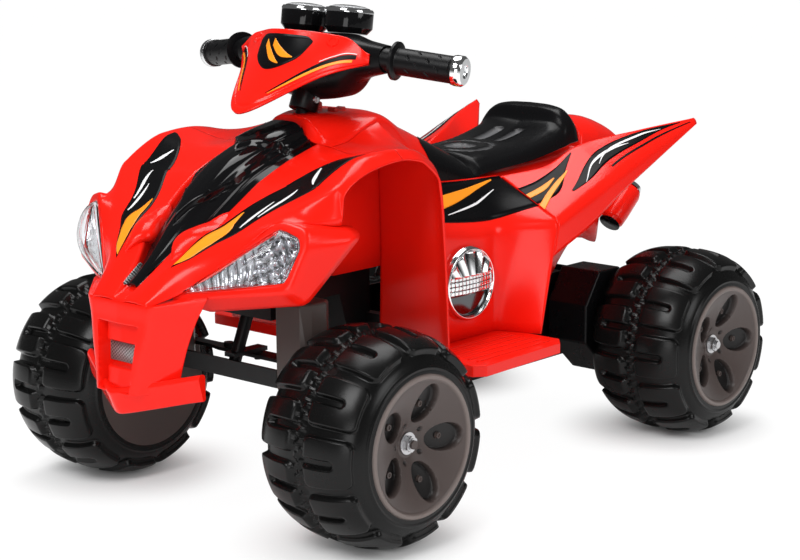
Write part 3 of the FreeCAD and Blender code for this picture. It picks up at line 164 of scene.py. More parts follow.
def smooth(rows, where):
    """Cubic curves through rows of points, read at row numbers: at each row the slope is the harmonic
    mean of the chords on both sides, or zero where these turn back, so that nothing overshoots."""
    rows = np.asarray(rows, float)
    steps = np.linalg.norm(np.diff(rows, axis=0), axis=2).mean(axis=1)[:, None, None]
    chord = np.diff(rows, axis=0) / steps
    slope = np.concatenate([chord[:1], chord])
    agree = chord[:-1] * chord[1:] > 0
    total = np.where(agree, chord[:-1] + chord[1:], 1)
    slope[1:-1] = np.where(agree, 2 * chord[:-1] * chord[1:] / total, 0)
    where = np.asarray(where, float)
    k = np.clip(where.astype(int), 0, len(steps) - 1)
    u = (where - k)[:, None, None]
    start, end = rows[k], rows[k + 1]
    leave, arrive = slope[k] * steps[k], slope[k + 1] * steps[k]
    return ((1 + 2 * u) * (1 - u) ** 2 * start + u * (1 - u) ** 2 * leave
            + u * u * (3 - 2 * u) * end + u * u * (u - 1) * arrive)


def through(rows, count):
    """Smooth surface rows, evenly spread over all the given rows."""
    return smooth(rows, np.linspace(0, len(rows) - 1, count))


def between(start, end, count):
    """Points inside the straight span from start to end, along the second last axis."""
    share = np.linspace(0, 1, count + 2)[1:-1, None]
    return start + (end - start) * share


def rounded(rows, radius, closed=False, arc=5, flat=3):
    """Lines of points [..., point, 3] with each corner replaced by a quadratic arc that starts and ends
    one radius from it, or nearer on a short side, and with the straight spans divided."""
    rows = np.asarray(rows, float)
    if closed:
        rows = np.concatenate([rows[..., -1:, :], rows, rows[..., :1, :]], axis=-2)
    corner = rows[..., 1:-1, :]
    back, ahead = rows[..., :-2, :] - corner, rows[..., 2:, :] - corner
    back_length = np.linalg.norm(back, axis=-1, keepdims=True) + 1e-9
    ahead_length = np.linalg.norm(ahead, axis=-1, keepdims=True) + 1e-9
    radius = np.asarray(radius, float)
    radius = radius[:, None] if radius.ndim else radius
    reach = np.minimum(radius, 0.45 * np.minimum(back_length, ahead_length))
    enter, leave = corner + back / back_length * reach, corner + ahead / ahead_length * reach
    share = np.linspace(0, 1, arc)[:, None]
    parts = []
    last = leave[..., -1:, :] if closed else rows[..., :1, :]
    if not closed:
        parts.append(last)
    for i in range(corner.shape[-2]):
        first, tip, end = enter[..., i:i + 1, :], corner[..., i:i + 1, :], leave[..., i:i + 1, :]
        parts.append(between(last, first, flat))
        parts.append((1 - share) ** 2 * first + 2 * share * (1 - share) * tip + share ** 2 * end)
        last = end
    if not closed:
        parts.append(between(last, rows[..., -1:, :], flat))
        parts.append(rows[..., -1:, :])
    return np.concatenate(parts, axis=-2)


def both_halves(points):
    """Lines that start on the middle plane, continued to the other side."""
    return np.concatenate([(points * RIGHT)[:, :0:-1], points], axis=1)


def capped(skin):
    """A tube of rings, closed to a point at both ends."""
    ends = skin[[0, -1]].mean(axis=1, keepdims=True) + 0 * skin[[0, -1]]
    return np.concatenate([ends[:1], skin, ends[1:]])


def grid_faces(rows, columns, loop_rows, loop_columns):
    """Corner numbers of the quads of a grid, joined end to end where it loops."""
    index = np.arange(rows * columns).reshape(rows, columns)
    if loop_rows:
        index = np.concatenate([index, index[:1]])
    if loop_columns:
        index = np.concatenate([index, index[:, :1]], axis=1)
    quads = np.stack([index[:-1, :-1], index[:-1, 1:], index[1:, 1:], index[1:, :-1]], axis=-1)
    return quads.reshape(-1, 4)


def outward(points, faces, inside):
    """Faces turned so that on the whole they look away from the inside point."""
    p = points[faces]
    normal = np.cross(p[:, 2] - p[:, 0], p[:, 3] - p[:, 1])
    flow = (normal * (p.mean(axis=1) - inside)).sum()
    return faces if flow >= 0 else faces[:, ::-1]


# Corners this near are one, and creases above these angles in degrees stay sharp
WELD_REACH = 2e-6
SHARP_ANGLE = 50
TYRE_SHARP_ANGLE = 70


def piece(name, sheets, kind, body="root", replaces=(), wall=0.0, sharp=SHARP_ANGLE, attributes=None):
    """One object made of grids: corners welded, faces outward, creases above the sharp angle kept."""
    points, faces, start = [], [], 0
    for sheet in sheets:
        flat = sheet.points.reshape(-1, 3)
        quads = grid_faces(*sheet.points.shape[:2], sheet.loop_rows, sheet.loop_columns)
        inside = flat.mean(axis=0) if sheet.inside is None else np.asarray(sheet.inside, float)
        faces.append(outward(flat, quads, inside) + start)
        points.append(flat)
        start += len(flat)
    mesh = bpy.data.meshes.new(name)
    mesh.from_pydata(np.concatenate(points).tolist(), [], np.concatenate(faces).tolist())
    for label, values in (attributes or {}).items():
        mesh.attributes.new(label, "FLOAT", "POINT").data.foreach_set("value", np.ravel(values))
    work = bmesh.new()
    work.from_mesh(mesh)
    bmesh.ops.remove_doubles(work, verts=work.verts, dist=WELD_REACH)
    work.to_mesh(mesh)
    work.free()
    mesh.shade_smooth()
    mesh.set_sharp_from_angle(angle=math.radians(sharp))
    mesh.materials.append(finish(kind))
    thing = bpy.data.objects.new(name, mesh)
    bpy.context.scene.collection.objects.link(thing)
    if wall:
        solid = thing.modifiers.new("Wall", "SOLIDIFY")
        solid.thickness = wall
        solid.offset = -1
    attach(thing, body)
    if replaces:
        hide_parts(*replaces)


def turned(profile, count=64):
    """A profile of (radius, height) points carried round the Z axis."""
    profile = np.asarray(profile, float)
    angle = full_turn(count)
    ring = np.stack([np.cos(angle), np.sin(angle)], axis=-1)
    flat = profile[:, None, 0:1] * ring
    high = np.broadcast_to(profile[:, None, 1:2], flat.shape[:2] + (1,))
    return np.concatenate([flat, high], axis=-1)


def aimed(points, origin, direction):
    """Points about the Z axis moved so that the axis starts at origin and follows direction."""
    turn = Vector(direction).to_track_quat("Z", "Y").to_matrix()
    return points @ np.array(turn).T + np.asarray(origin, float)


def lathed(profile, origin, direction, count=64, inside=None):
    """A turned profile whose axis starts at origin and follows direction."""
    return Sheet(aimed(turned(profile, count), origin, direction), loop_columns=True, inside=inside)


def normals(surface, inside):
    """Unit normals of a surface grid, turned away from the inside point."""
    normal = np.cross(np.gradient(surface, axis=0), np.gradient(surface, axis=1))
    normal /= np.linalg.norm(normal, axis=-1, keepdims=True) + 1e-12
    return normal if (normal * (surface - inside)).sum() >= 0 else -normal


def read_grid(grid, rows, columns):
    """Values of a grid between its points, at row and column numbers."""
    i = np.clip(rows.astype(int), 0, grid.shape[0] - 2)
    j = np.clip(columns.astype(int), 0, grid.shape[1] - 2)
    u, v = (rows - i)[..., None], (columns - j)[..., None]
    return ((1 - u) * ((1 - v) * grid[i, j] + v * grid[i, j + 1])
            + u * ((1 - v) * grid[i + 1, j] + v * grid[i + 1, j + 1]))


def even(surface, count=80):
    """The surface with its columns spread evenly by length along every row."""
    step = np.linalg.norm(np.diff(surface, axis=1), axis=-1)
    far = np.concatenate([0 * step[:, :1], np.cumsum(step, axis=1)], axis=1)
    far /= far[:, -1:]
    share = np.linspace(0, 1, count)
    column = np.clip((far[:, :, None] <= share).sum(axis=1) - 1, 0, surface.shape[1] - 2)
    row = np.arange(len(surface))[:, None]
    start, end = far[row, column], far[row, column + 1]
    u = ((share - start) / (end - start + 1e-12))[..., None]
    return surface[row, column] * (1 - u) + surface[row, column + 1] * u


def ribbon(surface, inside, table, lift, count=9):
    """Film on an even surface grid: (row share, low and high column share) read smoothly along the table,
    lifted off the surface along its normal."""
    line = through(np.asarray(table, float)[:, None], 90)[:, 0]
    run, low, high = line[:, :1], line[:, 1:2], line[:, 2:]
    columns = (low + (high - low) * np.linspace(0, 1, count)) * (surface.shape[1] - 1)
    rows = run * (surface.shape[0] - 1) + 0 * columns
    return read_grid(surface + normals(surface, inside) * lift, rows, columns)


# Height of one film layer above its ground, and a film's wall, in metres
FILM_LIFT = 0.0005
FILM_WALL = 0.0003


def film(name, surface, inside, tables, kind, layer=1, body="root", count=9):
    """Printed films of one kind on a surface, lifted by their layer."""
    ground, lift = even(surface, 200), FILM_LIFT * layer
    sheets = [Sheet(ribbon(ground, inside, table, lift, count), inside=inside) for table in tables]
    piece(name, sheets, kind, body, wall=FILM_WALL)


def films(name, surface, inside, tables, body="root"):
    """Printed films on one surface, each kind a layer above the one before it."""
    for layer, (kind, lines) in enumerate(tables.items(), start=1):
        film(f"{name}_{kind}", surface, inside, lines, kind, layer, body)


def fill(node, **values):
    """A node with these inputs set, their names written with underscores."""
    for name, value in values.items():
        node.inputs[name.replace("_", " ")].default_value = value
    return node


class Finish:
    """A node material for moulded, plated or painted surfaces, on Object coordinates: colour and gloss
    drift with soft noise, and a fine grain bumps the surface."""

    # Scale and detail of the noise under colour and gloss, detail and reach of the grain
    COLOUR_NOISE = (9.0, 3)
    GLOSS_NOISE = (35.0, 4)
    GRAIN_DETAIL = 2
    GRAIN_REACH = 0.001

    def __init__(self, name, base, roughness, drift=0.12, gloss_drift=0.06, grain=900.0, depth=0.02, **more):
        self.material = bpy.data.materials.new(name)
        self.material.use_nodes = True
        self.nodes = self.material.node_tree.nodes
        self.links = self.material.node_tree.links
        self.shader = fill(self.nodes["Principled BSDF"], **more)
        self.coordinates = self.nodes.new("ShaderNodeTexCoord").outputs["Object"]
        dark = [c * (1 - drift) for c in base] + [1]
        light = [min(1, c * (1 + drift)) for c in base] + [1]
        self.colour = self.mix(self.noise(*self.COLOUR_NOISE), dark, light)
        self.links.new(self.colour, self.shader.inputs["Base Color"])
        gloss = fill(self.nodes.new("ShaderNodeMapRange"),
                     To_Min=max(0.0, roughness - gloss_drift), To_Max=roughness + gloss_drift)
        self.links.new(self.noise(*self.GLOSS_NOISE), gloss.inputs["Value"])
        self.links.new(gloss.outputs["Result"], self.shader.inputs["Roughness"])
        bump = fill(self.nodes.new("ShaderNodeBump"), Strength=depth, Distance=self.GRAIN_REACH)
        self.links.new(self.noise(grain, self.GRAIN_DETAIL), bump.inputs["Height"])
        self.links.new(bump.outputs["Normal"], self.shader.inputs["Normal"])

    def noise(self, scale, detail):
        """Soft noise on the piece's own coordinates."""
        node = fill(self.nodes.new("ShaderNodeTexNoise"), Scale=scale, Detail=detail)
        self.links.new(self.coordinates, node.inputs["Vector"])
        return node.outputs["Fac"]

    def mix(self, share, first, second):
        """Colour between two, each a colour or a socket."""
        node = self.nodes.new("ShaderNodeMix")
        node.data_type = "RGBA"
        self.links.new(share, node.inputs["Factor"])
        for name, value in (("A", first), ("B", second)):
            socket = next(s for s in node.inputs if s.name == name and s.type == "RGBA")
            if isinstance(value, (list, tuple)):
                socket.default_value = value
            else:
                self.links.new(value, socket)
        return next(s for s in node.outputs if s.type == "RGBA")

    def with_painted_light(self, attribute, shade):
        """Mixes in painted light: the colour goes towards a darker or lighter shade where the piece's own
        attribute is 1.
        """
        node = self.nodes.new("ShaderNodeAttribute")
        node.attribute_name = attribute
        self.colour = self.mix(node.outputs["Fac"], self.colour, [*shade, 1])
        self.links.new(self.colour, self.shader.inputs["Base Color"])
        return self


def math_node(tree, operation, *values):
    """One arithmetic step on sockets and fixed numbers."""
    node = tree.nodes.new("ShaderNodeMath")
    node.operation = operation
    for socket, value in zip(node.inputs, values):
        if isinstance(value, float):
            socket.default_value = value
        else:
            tree.links.new(value, socket)
    return node.outputs[0]


# Scale of the net's bands, and the band's values between which it turns pale
NET_SCALE = 110.0
NET_EDGE = (0.86, 0.94)


def net_finish(dark, light):
    """Black ground with a pale net: two sets of slanted bands, the stronger one shown."""
    net = Finish("net", dark, 0.4, depth=0.03)
    bands = []
    for slant in (1, -1):
        turn = fill(net.nodes.new("ShaderNodeMapping"), Scale=(slant, 1, 1))
        net.links.new(net.coordinates, turn.inputs["Vector"])
        wave = fill(net.nodes.new("ShaderNodeTexWave"), Scale=NET_SCALE)
        wave.bands_direction = "DIAGONAL"
        net.links.new(turn.outputs["Vector"], wave.inputs["Vector"])
        bands.append(wave.outputs["Fac"])
    most = math_node(net.material.node_tree, "MAXIMUM", *bands)
    edge = fill(net.nodes.new("ShaderNodeMapRange"), From_Min=NET_EDGE[0], From_Max=NET_EDGE[1])
    net.links.new(most, edge.inputs["Value"])
    net.colour = net.mix(edge.outputs["Result"], net.colour, [*light, 1])
    net.links.new(net.colour, net.shader.inputs["Base Color"])
    return net


FINISHES = {}


def make_finishes():
    """All finishes, by name."""
    c = colours()
    black, tyre, disc, chrome = c.black, c.tyre, c.disc, c.chrome
    FINISHES.update({
        "red": Finish("red_gloss", c.red, 0.2, drift=0.05, depth=0.01, Specular_IOR_Level=0.22),
        "gloss": Finish("black_gloss", black, 0.08, gloss_drift=0.02, depth=0.006, Specular_IOR_Level=0.26),
        "black": Finish("black_moulding", black, 0.28, depth=0.03, Specular_IOR_Level=0.15),
        # Saddle: the grey in its hollows is a painted reflection
        "saddle": Finish("saddle_moulding", black, 0.26, grain=1400.0, depth=0.04,
                         Specular_IOR_Level=0.15).with_painted_light("sunk", (0.14, 0.14, 0.145)),
        "grip": Finish("grip_moulding", black, 0.34, grain=1600.0, depth=0.06, Specular_IOR_Level=0.18),
        "tyre": Finish("tyre_moulding", tyre, 0.26, gloss_drift=0.05, grain=700.0, depth=0.03,
                       Specular_IOR_Level=0.2),
        # Disc: pockets and dimples darkened by painted shade, the raised rim lightened by a painted highlight
        "disc": Finish("disc_moulding", disc, 0.38, depth=0.04, Specular_IOR_Level=0.35).with_painted_light(
            "rim", (0.15, 0.12, 0.11)).with_painted_light("pocket", (0.006, 0.005, 0.005)),
        "strut": Finish("strut_paint", disc, 0.4, depth=0.05, Specular_IOR_Level=0.3),
        "steel": Finish("bare_steel", c.steel, 0.3, gloss_drift=0.1, depth=0.05, Metallic=1.0),
        "frame": Finish("frame_paint", black, 0.4, depth=0.06, Specular_IOR_Level=0.24),
        "chrome": Finish("bright_plating", chrome, 0.09, drift=0.03, gloss_drift=0.03, depth=0.004,
                         Metallic=1.0),
        # Mosaic trim: grooves and facet valleys darkened by painted shade, its bowl painted dark
        "mosaic": Finish("bright_mosaic", chrome, 0.12, drift=0.03, gloss_drift=0.03, depth=0.004,
                         Metallic=1.0).with_painted_light("painted_recess_shade", (0.05, 0.05, 0.055)),
        # Lamp reflector: its rib and facet valleys are darkened by painted shade
        "reflector": Finish("lamp_reflector", (0.42, 0.42, 0.44), 0.2, drift=0.1, gloss_drift=0.05,
                            depth=0.004, Metallic=1.0).with_painted_light("painted_recess_shade", (0.02, 0.02, 0.022)),
        "glass": Finish("clear_moulding", (0.97, 0.98, 1.0), 0.03, drift=0.01, gloss_drift=0.01, depth=0.002,
                        Transmission_Weight=1.0, IOR=1.3),
        "orange": Finish("orange_film", c.orange, 0.3, drift=0.1, depth=0.01, Specular_IOR_Level=0.3),
        "pale": Finish("pale_film", c.pale, 0.3, drift=0.05, depth=0.01, Specular_IOR_Level=0.3),
        "film": Finish("black_film", black, 0.26, drift=0.2, depth=0.01, Specular_IOR_Level=0.08),
        "button": Finish("button_moulding", (0.45, 0.02, 0.015), 0.3, depth=0.03),
        "net": net_finish(black, c.steel),
    })


def finish(name):
    """The material of a finish."""
    return FINISHES[name].material


# Fender line, each row the cowl's channel floor, channel edge, brim, inner flank, flank, crest and hem
COWL_SHARES = (
    (-2.07, ((0, 1.8), (.08, 1.8), (.12, 1.81), (.2, 1.815), (.3, 1.815), (.52, 1.8), (.525, 1.745))),
    (-1.61, ((0, 2.02), (.17, 2.02), (.19, 2.16), (.36, 2.21), (.54, 2.25), (.74, 2.18), (.86, 1.97))),
    (-1.2, ((0, 2.33), (.35, 2.28), (.38, 2.53), (.55, 2.6), (.8, 2.55), (1.13, 2.505), (1.357, 2.45))),
    (-.85, ((0, 2.6), (.5, 2.52), (.53, 2.7), (.76, 2.75), (1.04, 2.74), (1.47, 2.78), (1.78, 2.86))),
    (-.1, ((0, 3.15), (.6, 3.08), (.63, 3.2), (.95, 3.2), (1.4, 3.18), (2.12, 3.27), (2.2, 2.78))),
    (-.06, ((0, 3.17), (.6, 3.1), (.63, 3.22), (.95, 3.216), (1.4, 3.2), (2.118, 3.29), (2.2, 3.12))),
    (.57, ((0, 3.45), (.6, 3.36), (.63, 3.47), (.88, 3.475), (1.3, 3.48), (2.05, 3.62), (2.22, 3.46))),
    (1.1, ((0, 3.62), (.56, 3.5), (.59, 3.61), (.88, 3.58), (1.3, 3.5), (2.07, 3.66), (2.22, 3.52))),
)
# The leg shield goes on from the cowl's last four points, over the wheel and down to the foot board
SHIELD_SHARES = (
    ((.88, 1.4, 3.62), (1.35, 1.42, 3.56), (2.07, 1.45, 3.62), (2.22, 1.45, 3.47)),
    ((.88, 1.78, 3.78), (1.35, 1.78, 3.64), (2.07, 1.75, 3.48), (2.22, 1.69, 3.33)),
    ((.88, 2.04, 3.86), (1.35, 2.0, 3.58), (2.07, 1.95, 3.28), (2.22, 1.88, 3.12)),
    ((.88, 2.13, 2.0), (1.35, 2.11, 2.15), (2.07, 2.06, 2.3), (2.22, 1.98, 2.3)),
    ((.88, 2.1, .56), (1.35, 2.1, .56), (2.07, 2.09, .56), (2.22, 2.08, .56)),
)
# The other mouldings by rows along the bike, each from the middle or the upper edge outwards and down
HOOD_SHARES = (
    (-1.83, ((0, 1.995), (.02, 1.994), (.03, 1.992), (.06, 1.985), (.1, 1.963))),
    (-1.61, ((0, 2.15), (.05, 2.147), (.07, 2.13), (.11, 2.115), (.155, 2.065))),
    (-.85, ((0, 2.86), (.13, 2.85), (.19, 2.78), (.33, 2.73), (.485, 2.569))),
    (-.1, ((0, 3.4), (.17, 3.39), (.25, 3.3), (.42, 3.26), (.585, 3.129))),
    (.57, ((0, 3.63), (.2, 3.62), (.28, 3.54), (.44, 3.5), (.585, 3.409))),
    (1.08, ((0, 3.74), (.2, 3.73), (.28, 3.66), (.42, 3.63), (.545, 3.541))),
)
TANK_SHARES = (
    (1.105, ((0, 3.7), (.3, 3.69), (.45, 3.63), (.62, 3.6), (.872, 3.58), (.872, 1.75))),
    (1.22, ((0, 3.95), (.3, 3.94), (.46, 3.8), (.62, 3.68), (.872, 3.6), (.872, 1.75))),
    (1.65, ((0, 3.98), (.4, 3.98), (.62, 3.86), (.75, 3.79), (.872, 3.72), (.872, 1.75))),
    (2.15, ((0, 3.98), (.4, 3.98), (.66, 3.95), (.78, 3.92), (.872, 3.86), (.872, 1.75))),
    (3.0, ((0, 3.7), (.36, 3.68), (.64, 3.56), (.78, 3.4), (.872, 3.2), (.872, 1.75))),
    (4.28, ((0, 3.12), (.34, 3.1), (.62, 2.99), (.76, 2.9), (.872, 2.78), (.872, 1.75))),
)
SIDE_SHARES = (
    (2.19, ((.9, 2.98), (1.4, 2.5), (1.36, .556))),
    (2.67, ((.9, 2.9), (1.52, 2.24), (1.52, .556))),
    (3.9, ((.9, 2.81), (1.52, 2.1), (1.52, .556))),
    (4.21, ((.9, 2.78), (2.2, 2.22), (2.2, .556))),
)
WING_SHARES = (
    (4.22, ((.93, 2.55), (.95, 2.78), (2.2, 2.22), (2.2, 1.7))),
    (5.45, ((1.02, 2.45), (1.31, 2.9), (2.22, 2.53), (2.24, 2.08))),
    (6.15, ((1.08, 2.55), (1.41, 3.16), (2.24, 2.8), (2.26, 2.46))),
    (7.1, ((1.45, 2.95), (1.86, 3.34), (2.27, 3.12), (2.29, 2.9))),
    (8.13, ((2.2, 3.4), (2.27, 3.48), (2.32, 3.44), (2.34, 3.38))),
)
REAR_SHARES = (
    (4.31, ((0, 2.74), (.5, 2.75), (.83, 2.72), (.845, 2.45), (.845, .56))),
    (5.6, ((0, 2.8), (.5, 2.82), (.88, 2.82), (.9, 2.46), (.845, .56))),
    (6.86, ((0, 2.96), (.5, 2.98), (.9, 3.02), (.94, 2.6), (.86, 1.5))),
    (7.04, ((0, 3.46), (.5, 3.47), (.88, 3.26), (.94, 2.7), (.86, 1.48))),
    (7.42, ((0, 3.44), (.5, 3.45), (.87, 3.23), (.93, 2.7), (.86, 1.36))),
    (7.6, ((0, 3.42), (.49, 3.42), (.85, 3.2), (.92, 2.7), (.83, 1.8))),
    (8.1, ((0, 3.25), (.46, 3.25), (.79, 3.07), (.87, 2.7), (.72, 1.93))),
    (8.3, ((0, 3.12), (.45, 3.12), (.78, 2.96), (.86, 2.7), (.7, 1.95))),
)
SADDLE_SHARES = (
    (4.32, ((0, 2.98), (.3, 2.97), (.55, 2.9), (.72, 2.8), (.76, 2.77))),
    (4.5, ((0, 3.14), (.34, 3.12), (.62, 3.06), (.8, 2.92), (.86, 2.83))),
    (5.6, ((0, 3.16), (.36, 3.19), (.66, 3.18), (.86, 3.06), (.92, 2.92))),
    (6.3, ((0, 3.31), (.38, 3.34), (.68, 3.33), (.88, 3.2), (.94, 3.03))),
    (6.48, ((0, 3.41), (.38, 3.43), (.68, 3.42), (.88, 3.27), (.94, 3.06))),
    (6.6, ((0, 3.64), (.4, 3.64), (.7, 3.58), (.88, 3.37), (.94, 3.09))),
    (6.73, ((0, 3.69), (.4, 3.68), (.7, 3.62), (.88, 3.4), (.94, 3.1))),
    (6.84, ((0, 3.62), (.4, 3.61), (.68, 3.56), (.86, 3.36), (.92, 3.11))),
)
# The wing's front and the side panel's rear lean back together, as much along as this share of the height
LEAN_SHARE = 0.25
LEAN_FOOT_SHARE = 0.55
# Head lamp pod's front, rim and lens (across, up), and the planes that they lie on: one point (across, along,
# up) and how far the plane runs along for a unit across and a unit up
POD_SHARES = ((.62, 1.82), (2.1, 2.0), (2.22, 2.58), (2.17, 2.82), (1.82, 2.93))
POD_RIM_SHARES = ((.9, 1.64), (2.18, 1.81), (2.4, 2.64), (2.2, 2.76), (1.5, 2.7))
LENS_SHARES = ((.78, 1.93), (2.02, 2.12), (2.12, 2.56), (2.08, 2.68), (1.83, 2.79))
LAMP_PLANE = ((.7, -1.69, 1.9), (.471, .325))
RIM_PLANE = ((.9, -1.35, 1.64), (.35, .895))
# Handlebar housing from its left end to the middle, each row place, half depth and half height
HOUSING_SHARES = (
    (1.4, 1.71, 4.78, .19, .19), (1.0, 1.71, 4.76, .26, .27), (.62, 1.74, 4.66, .37, .44),
    (0, 1.72, 4.62, .41, .48),
)
# Handlebar's shield from its left end to the middle, each row from its lower to its upper edge
SCREEN_SHARES = (
    ((1.26, 1.47, 4.73), (1.26, 1.48, 4.78), (1.26, 1.46, 4.85)),
    ((.88, 1.08, 4.6), (.88, 1.25, 4.87), (.88, 1.42, 5.08)),
    ((0, .14, 4.08), (0, .82, 4.72), (0, 1.06, 5.18)),
)
# Rounding of the edges that run along each moulding, in the order of its points, in metres
EDGE_RADII = {
    "hood": (.006, .006, .02), "tank": (.03, .02, .02, .008), "panel": .012, "wing": (.004, .012),
    "rear": (.03, .02, .012), "saddle": (.03, .02, .02), "screen": .02, "nose": .008, "pod": .011,
    "lip": .004,
}
# Points inside the mouldings, from which their outer sides face away
CORE_SHARES = {
    "cowl": (0, 0, 0), "fender": (.5, .5, -2), "shield": (1.5, -1, .5), "tank": (0, 2.4, 2),
    "panel": (0, 3, 0), "wing": (1.2, 6, 1), "rear": (0, 6, 2), "lamp": (1.6, 1, 2), "saddle": (0, 5.6, 2),
    "screen": (0, 2, 4.6), "nose": (0, -1.7, 1.1), "net": (0, 0, 1),
}


def core(name):
    """The point inside a moulding."""
    return place(CORE_SHARES[name])


def fender_rows():
    """Control rows of the fender line from nose to foot board: the cowl's outer points, then the shield's."""
    cowl = stations(COWL_SHARES)
    return cowl, np.concatenate([cowl[:, 3:], place(SHIELD_SHARES)])


def cowl_surface():
    """Cowl from nose to seam: outer flank read from the whole fender line, channel from its own rows."""
    cowl, line = fender_rows()
    where = np.linspace(0, len(cowl) - 1, 90)
    half = np.concatenate([smooth(cowl[:, :3], where), smooth(line, where)], axis=1)
    radius = sizes().edge_radius
    return rounded(half, [0.4 * radius, radius, 4 * radius, 4 * radius, 1.3 * radius])


def shield_surface():
    """Leg shield from the seam over the wheel and down to the foot board."""
    cowl, line = fender_rows()
    where = np.linspace(len(cowl) - 1, len(line) - 1, 80)
    return rounded(smooth(line, where), [4 * sizes().edge_radius, 1.3 * sizes().edge_radius], flat=6)


def leaning(points, rows):
    """The named rows moved back by the lean share of their height above the foot board."""
    low = place([0, 0, LEAN_FOOT_SHARE])[2]
    points = points.copy()
    points[rows, :, 1] += LEAN_SHARE * (points[rows, :, 2] - low)
    return points


def shell(name, surface, nodes, kind="red", inside=None, wall=None, **more):
    """A thin moulding that stands for its CAD node."""
    thickness = sizes().wall if wall is None else wall
    piece(name, [Sheet(surface, inside=inside)], kind, replaces=nodes, wall=thickness, **more)


def on_plane(outline, plane, depth=0.0):
    """Points of an outline (across, up) on a slanted plane, moved back by a depth in units."""
    outline = np.asarray(outline, float)
    across, up = outline[..., 0], outline[..., 1]
    (start, along, foot), (slope, rise) = plane
    along = along + slope * (across - start) + rise * (up - foot) + depth
    return place(np.stack([across, along, up], axis=-1))


def pod_surface():
    """Lamp pod: outlines at its rim, its front and its lens seat, joined in rings with rounded edges."""
    rings = np.stack([on_plane(POD_RIM_SHARES, RIM_PLANE), on_plane(POD_SHARES, LAMP_PLANE),
                      on_plane(LENS_SHARES, LAMP_PLANE, -0.01), on_plane(LENS_SHARES, LAMP_PLANE, 0.12)])
    around = rounded(rings, EDGE_RADII["pod"], closed=True, flat=6)
    return rounded(np.swapaxes(around, 0, 1), sizes().edge_radius * 0.8, flat=4)


def lens_field(depth, columns=200, rows=28):
    """Kite-shaped field inside the lens outline on the lamp's front, moved back by a depth: from inner tip to
    outer edge, each line runs from the lower to the upper side. Also its lengthwise and crosswise shares."""
    across = np.linspace(LENS_SHARES[0][0], LENS_SHARES[2][0], columns)[:, None]
    low_x, low_z = np.array(LENS_SHARES[:3]).T
    top_x, top_z = np.array([LENS_SHARES[0], *LENS_SHARES[:1:-1]]).T
    low, top = np.interp(across, low_x, low_z), np.interp(across, top_x, top_z)
    cross = np.linspace(0, 1, rows)[None, :]
    up = low + (top - low) * cross
    length = np.linspace(0, 1, columns)[:, None]
    field = on_plane(np.stack([across + 0 * up, up], axis=-1), LAMP_PLANE, depth)
    return field, length + 0 * cross, cross + 0 * length


# Films on the fender, side panel and wing, each line (row share, low and high column share)
FENDER_FILMS = {
    "film": [((.142, .6, .604), (.17, .597, .66), (.2, .592, .71), (.25, .575, .735), (.33, .53, .74),
              (.42, .48, .705), (.5, .46, .69), (.571, .47, .68), (.714, .531, .768), (.78, .59, .8),
              (.84, .69, .83), (.89, .82, .845))],
    "orange": [((.155, .603, .61), (.18, .605, .67), (.22, .6, .71), (.27, .585, .715), (.33, .555, .69),
                (.4, .52, .61), (.47, .49, .5))],
    "pale": [((.41, .665, .675), (.46, .615, .64), (.51, .575, .58)),
             ((.46, .665, .675), (.51, .615, .64), (.56, .575, .58)),
             ((.725, .72, .73), (.76, .68, .71), (.8, .66, .67))],
}
PANEL_FILMS = {
    "film": [((.06, .01, .2), (.2, .01, .25), (.4, .01, .29), (.7, .01, .31), (1, .01, .31))],
    "orange": [((.12, .17, .22), (.3, .14, .23), (.5, .1, .18), (.7, .06, .1), (.9, .03, .04))],
    "pale": [((.45, .24, .245), (.65, .18, .195), (.85, .11, .115))],
}
WING_FILMS = {
    "film": [((.0, .3, .52), (.12, .34, .56), (.3, .36, .44), (.42, .37, .38)),
             ((.2, .62, .64), (.4, .55, .68), (.7, .5, .66), (.93, .55, .58)),
             ((.5, .73, .75), (.97, .68, .72))],
    "orange": [((.0, .54, .6), (.1, .49, .54), (.2, .46, .5), (.3, .45, .46)),
               ((.0, .39, .44), (.1, .41, .46), (.2, .42, .43))],
    "pale": [((.3, .66, .665), (.45, .58, .6), (.58, .57, .6), (.66, .61, .615)),
             ((.46, .64, .645), (.6, .56, .58), (.74, .55, .58), (.83, .6, .605))],
}
# Black film over the tank cover's rear, net at the cowl's tip, and the red lobe beside the bonnet insert
TANK_FILM = ((.83, .3, .34), (.86, .2, .75), (.9, .12, .75), (.95, .06, .75), (1, .04, .75))
TIP_NET = ((.07, .2, .24), (.11, .13, .25), (.17, .11, .25), (.22, .17, .18))
LOBE = (
    (.17, .5, .53), (.22, .4, .58), (.28, .3, .58), (.34, .22, .55), (.4, .2, .49), (.45, .24, .42),
    (.48, .3, .33),
)
# The lobe's height, how deep its edge lies in the cowl and its wall, in metres
LOBE_HEIGHT = 0.014
LOBE_SINK = 0.002
LOBE_WALL = 0.002
# Four times the bulge of the rear body's end panel
TAIL_BULGE = 0.03


def rear_sheets():
    """Rear body from the tank to its end, and the panel that closes the end, bulged at half height."""
    rear = both_halves(rounded(through(stations(REAR_SHARES), 110), EDGE_RADII["rear"]))
    share = np.linspace(1, 0, 12)[:, None]
    height = (rear[-1, :, 2] - rear[-1, :, 2].min()) / np.ptp(rear[-1, :, 2])
    tail = rear[-1] * np.stack([share, share * 0 + 1, share * 0 + 1], axis=-1)
    tail[..., 1] += TAIL_BULGE * (1 - share ** 2) * height * (1 - height)
    return [Sheet(points, inside=core("rear")) for points in (rear, tail)]


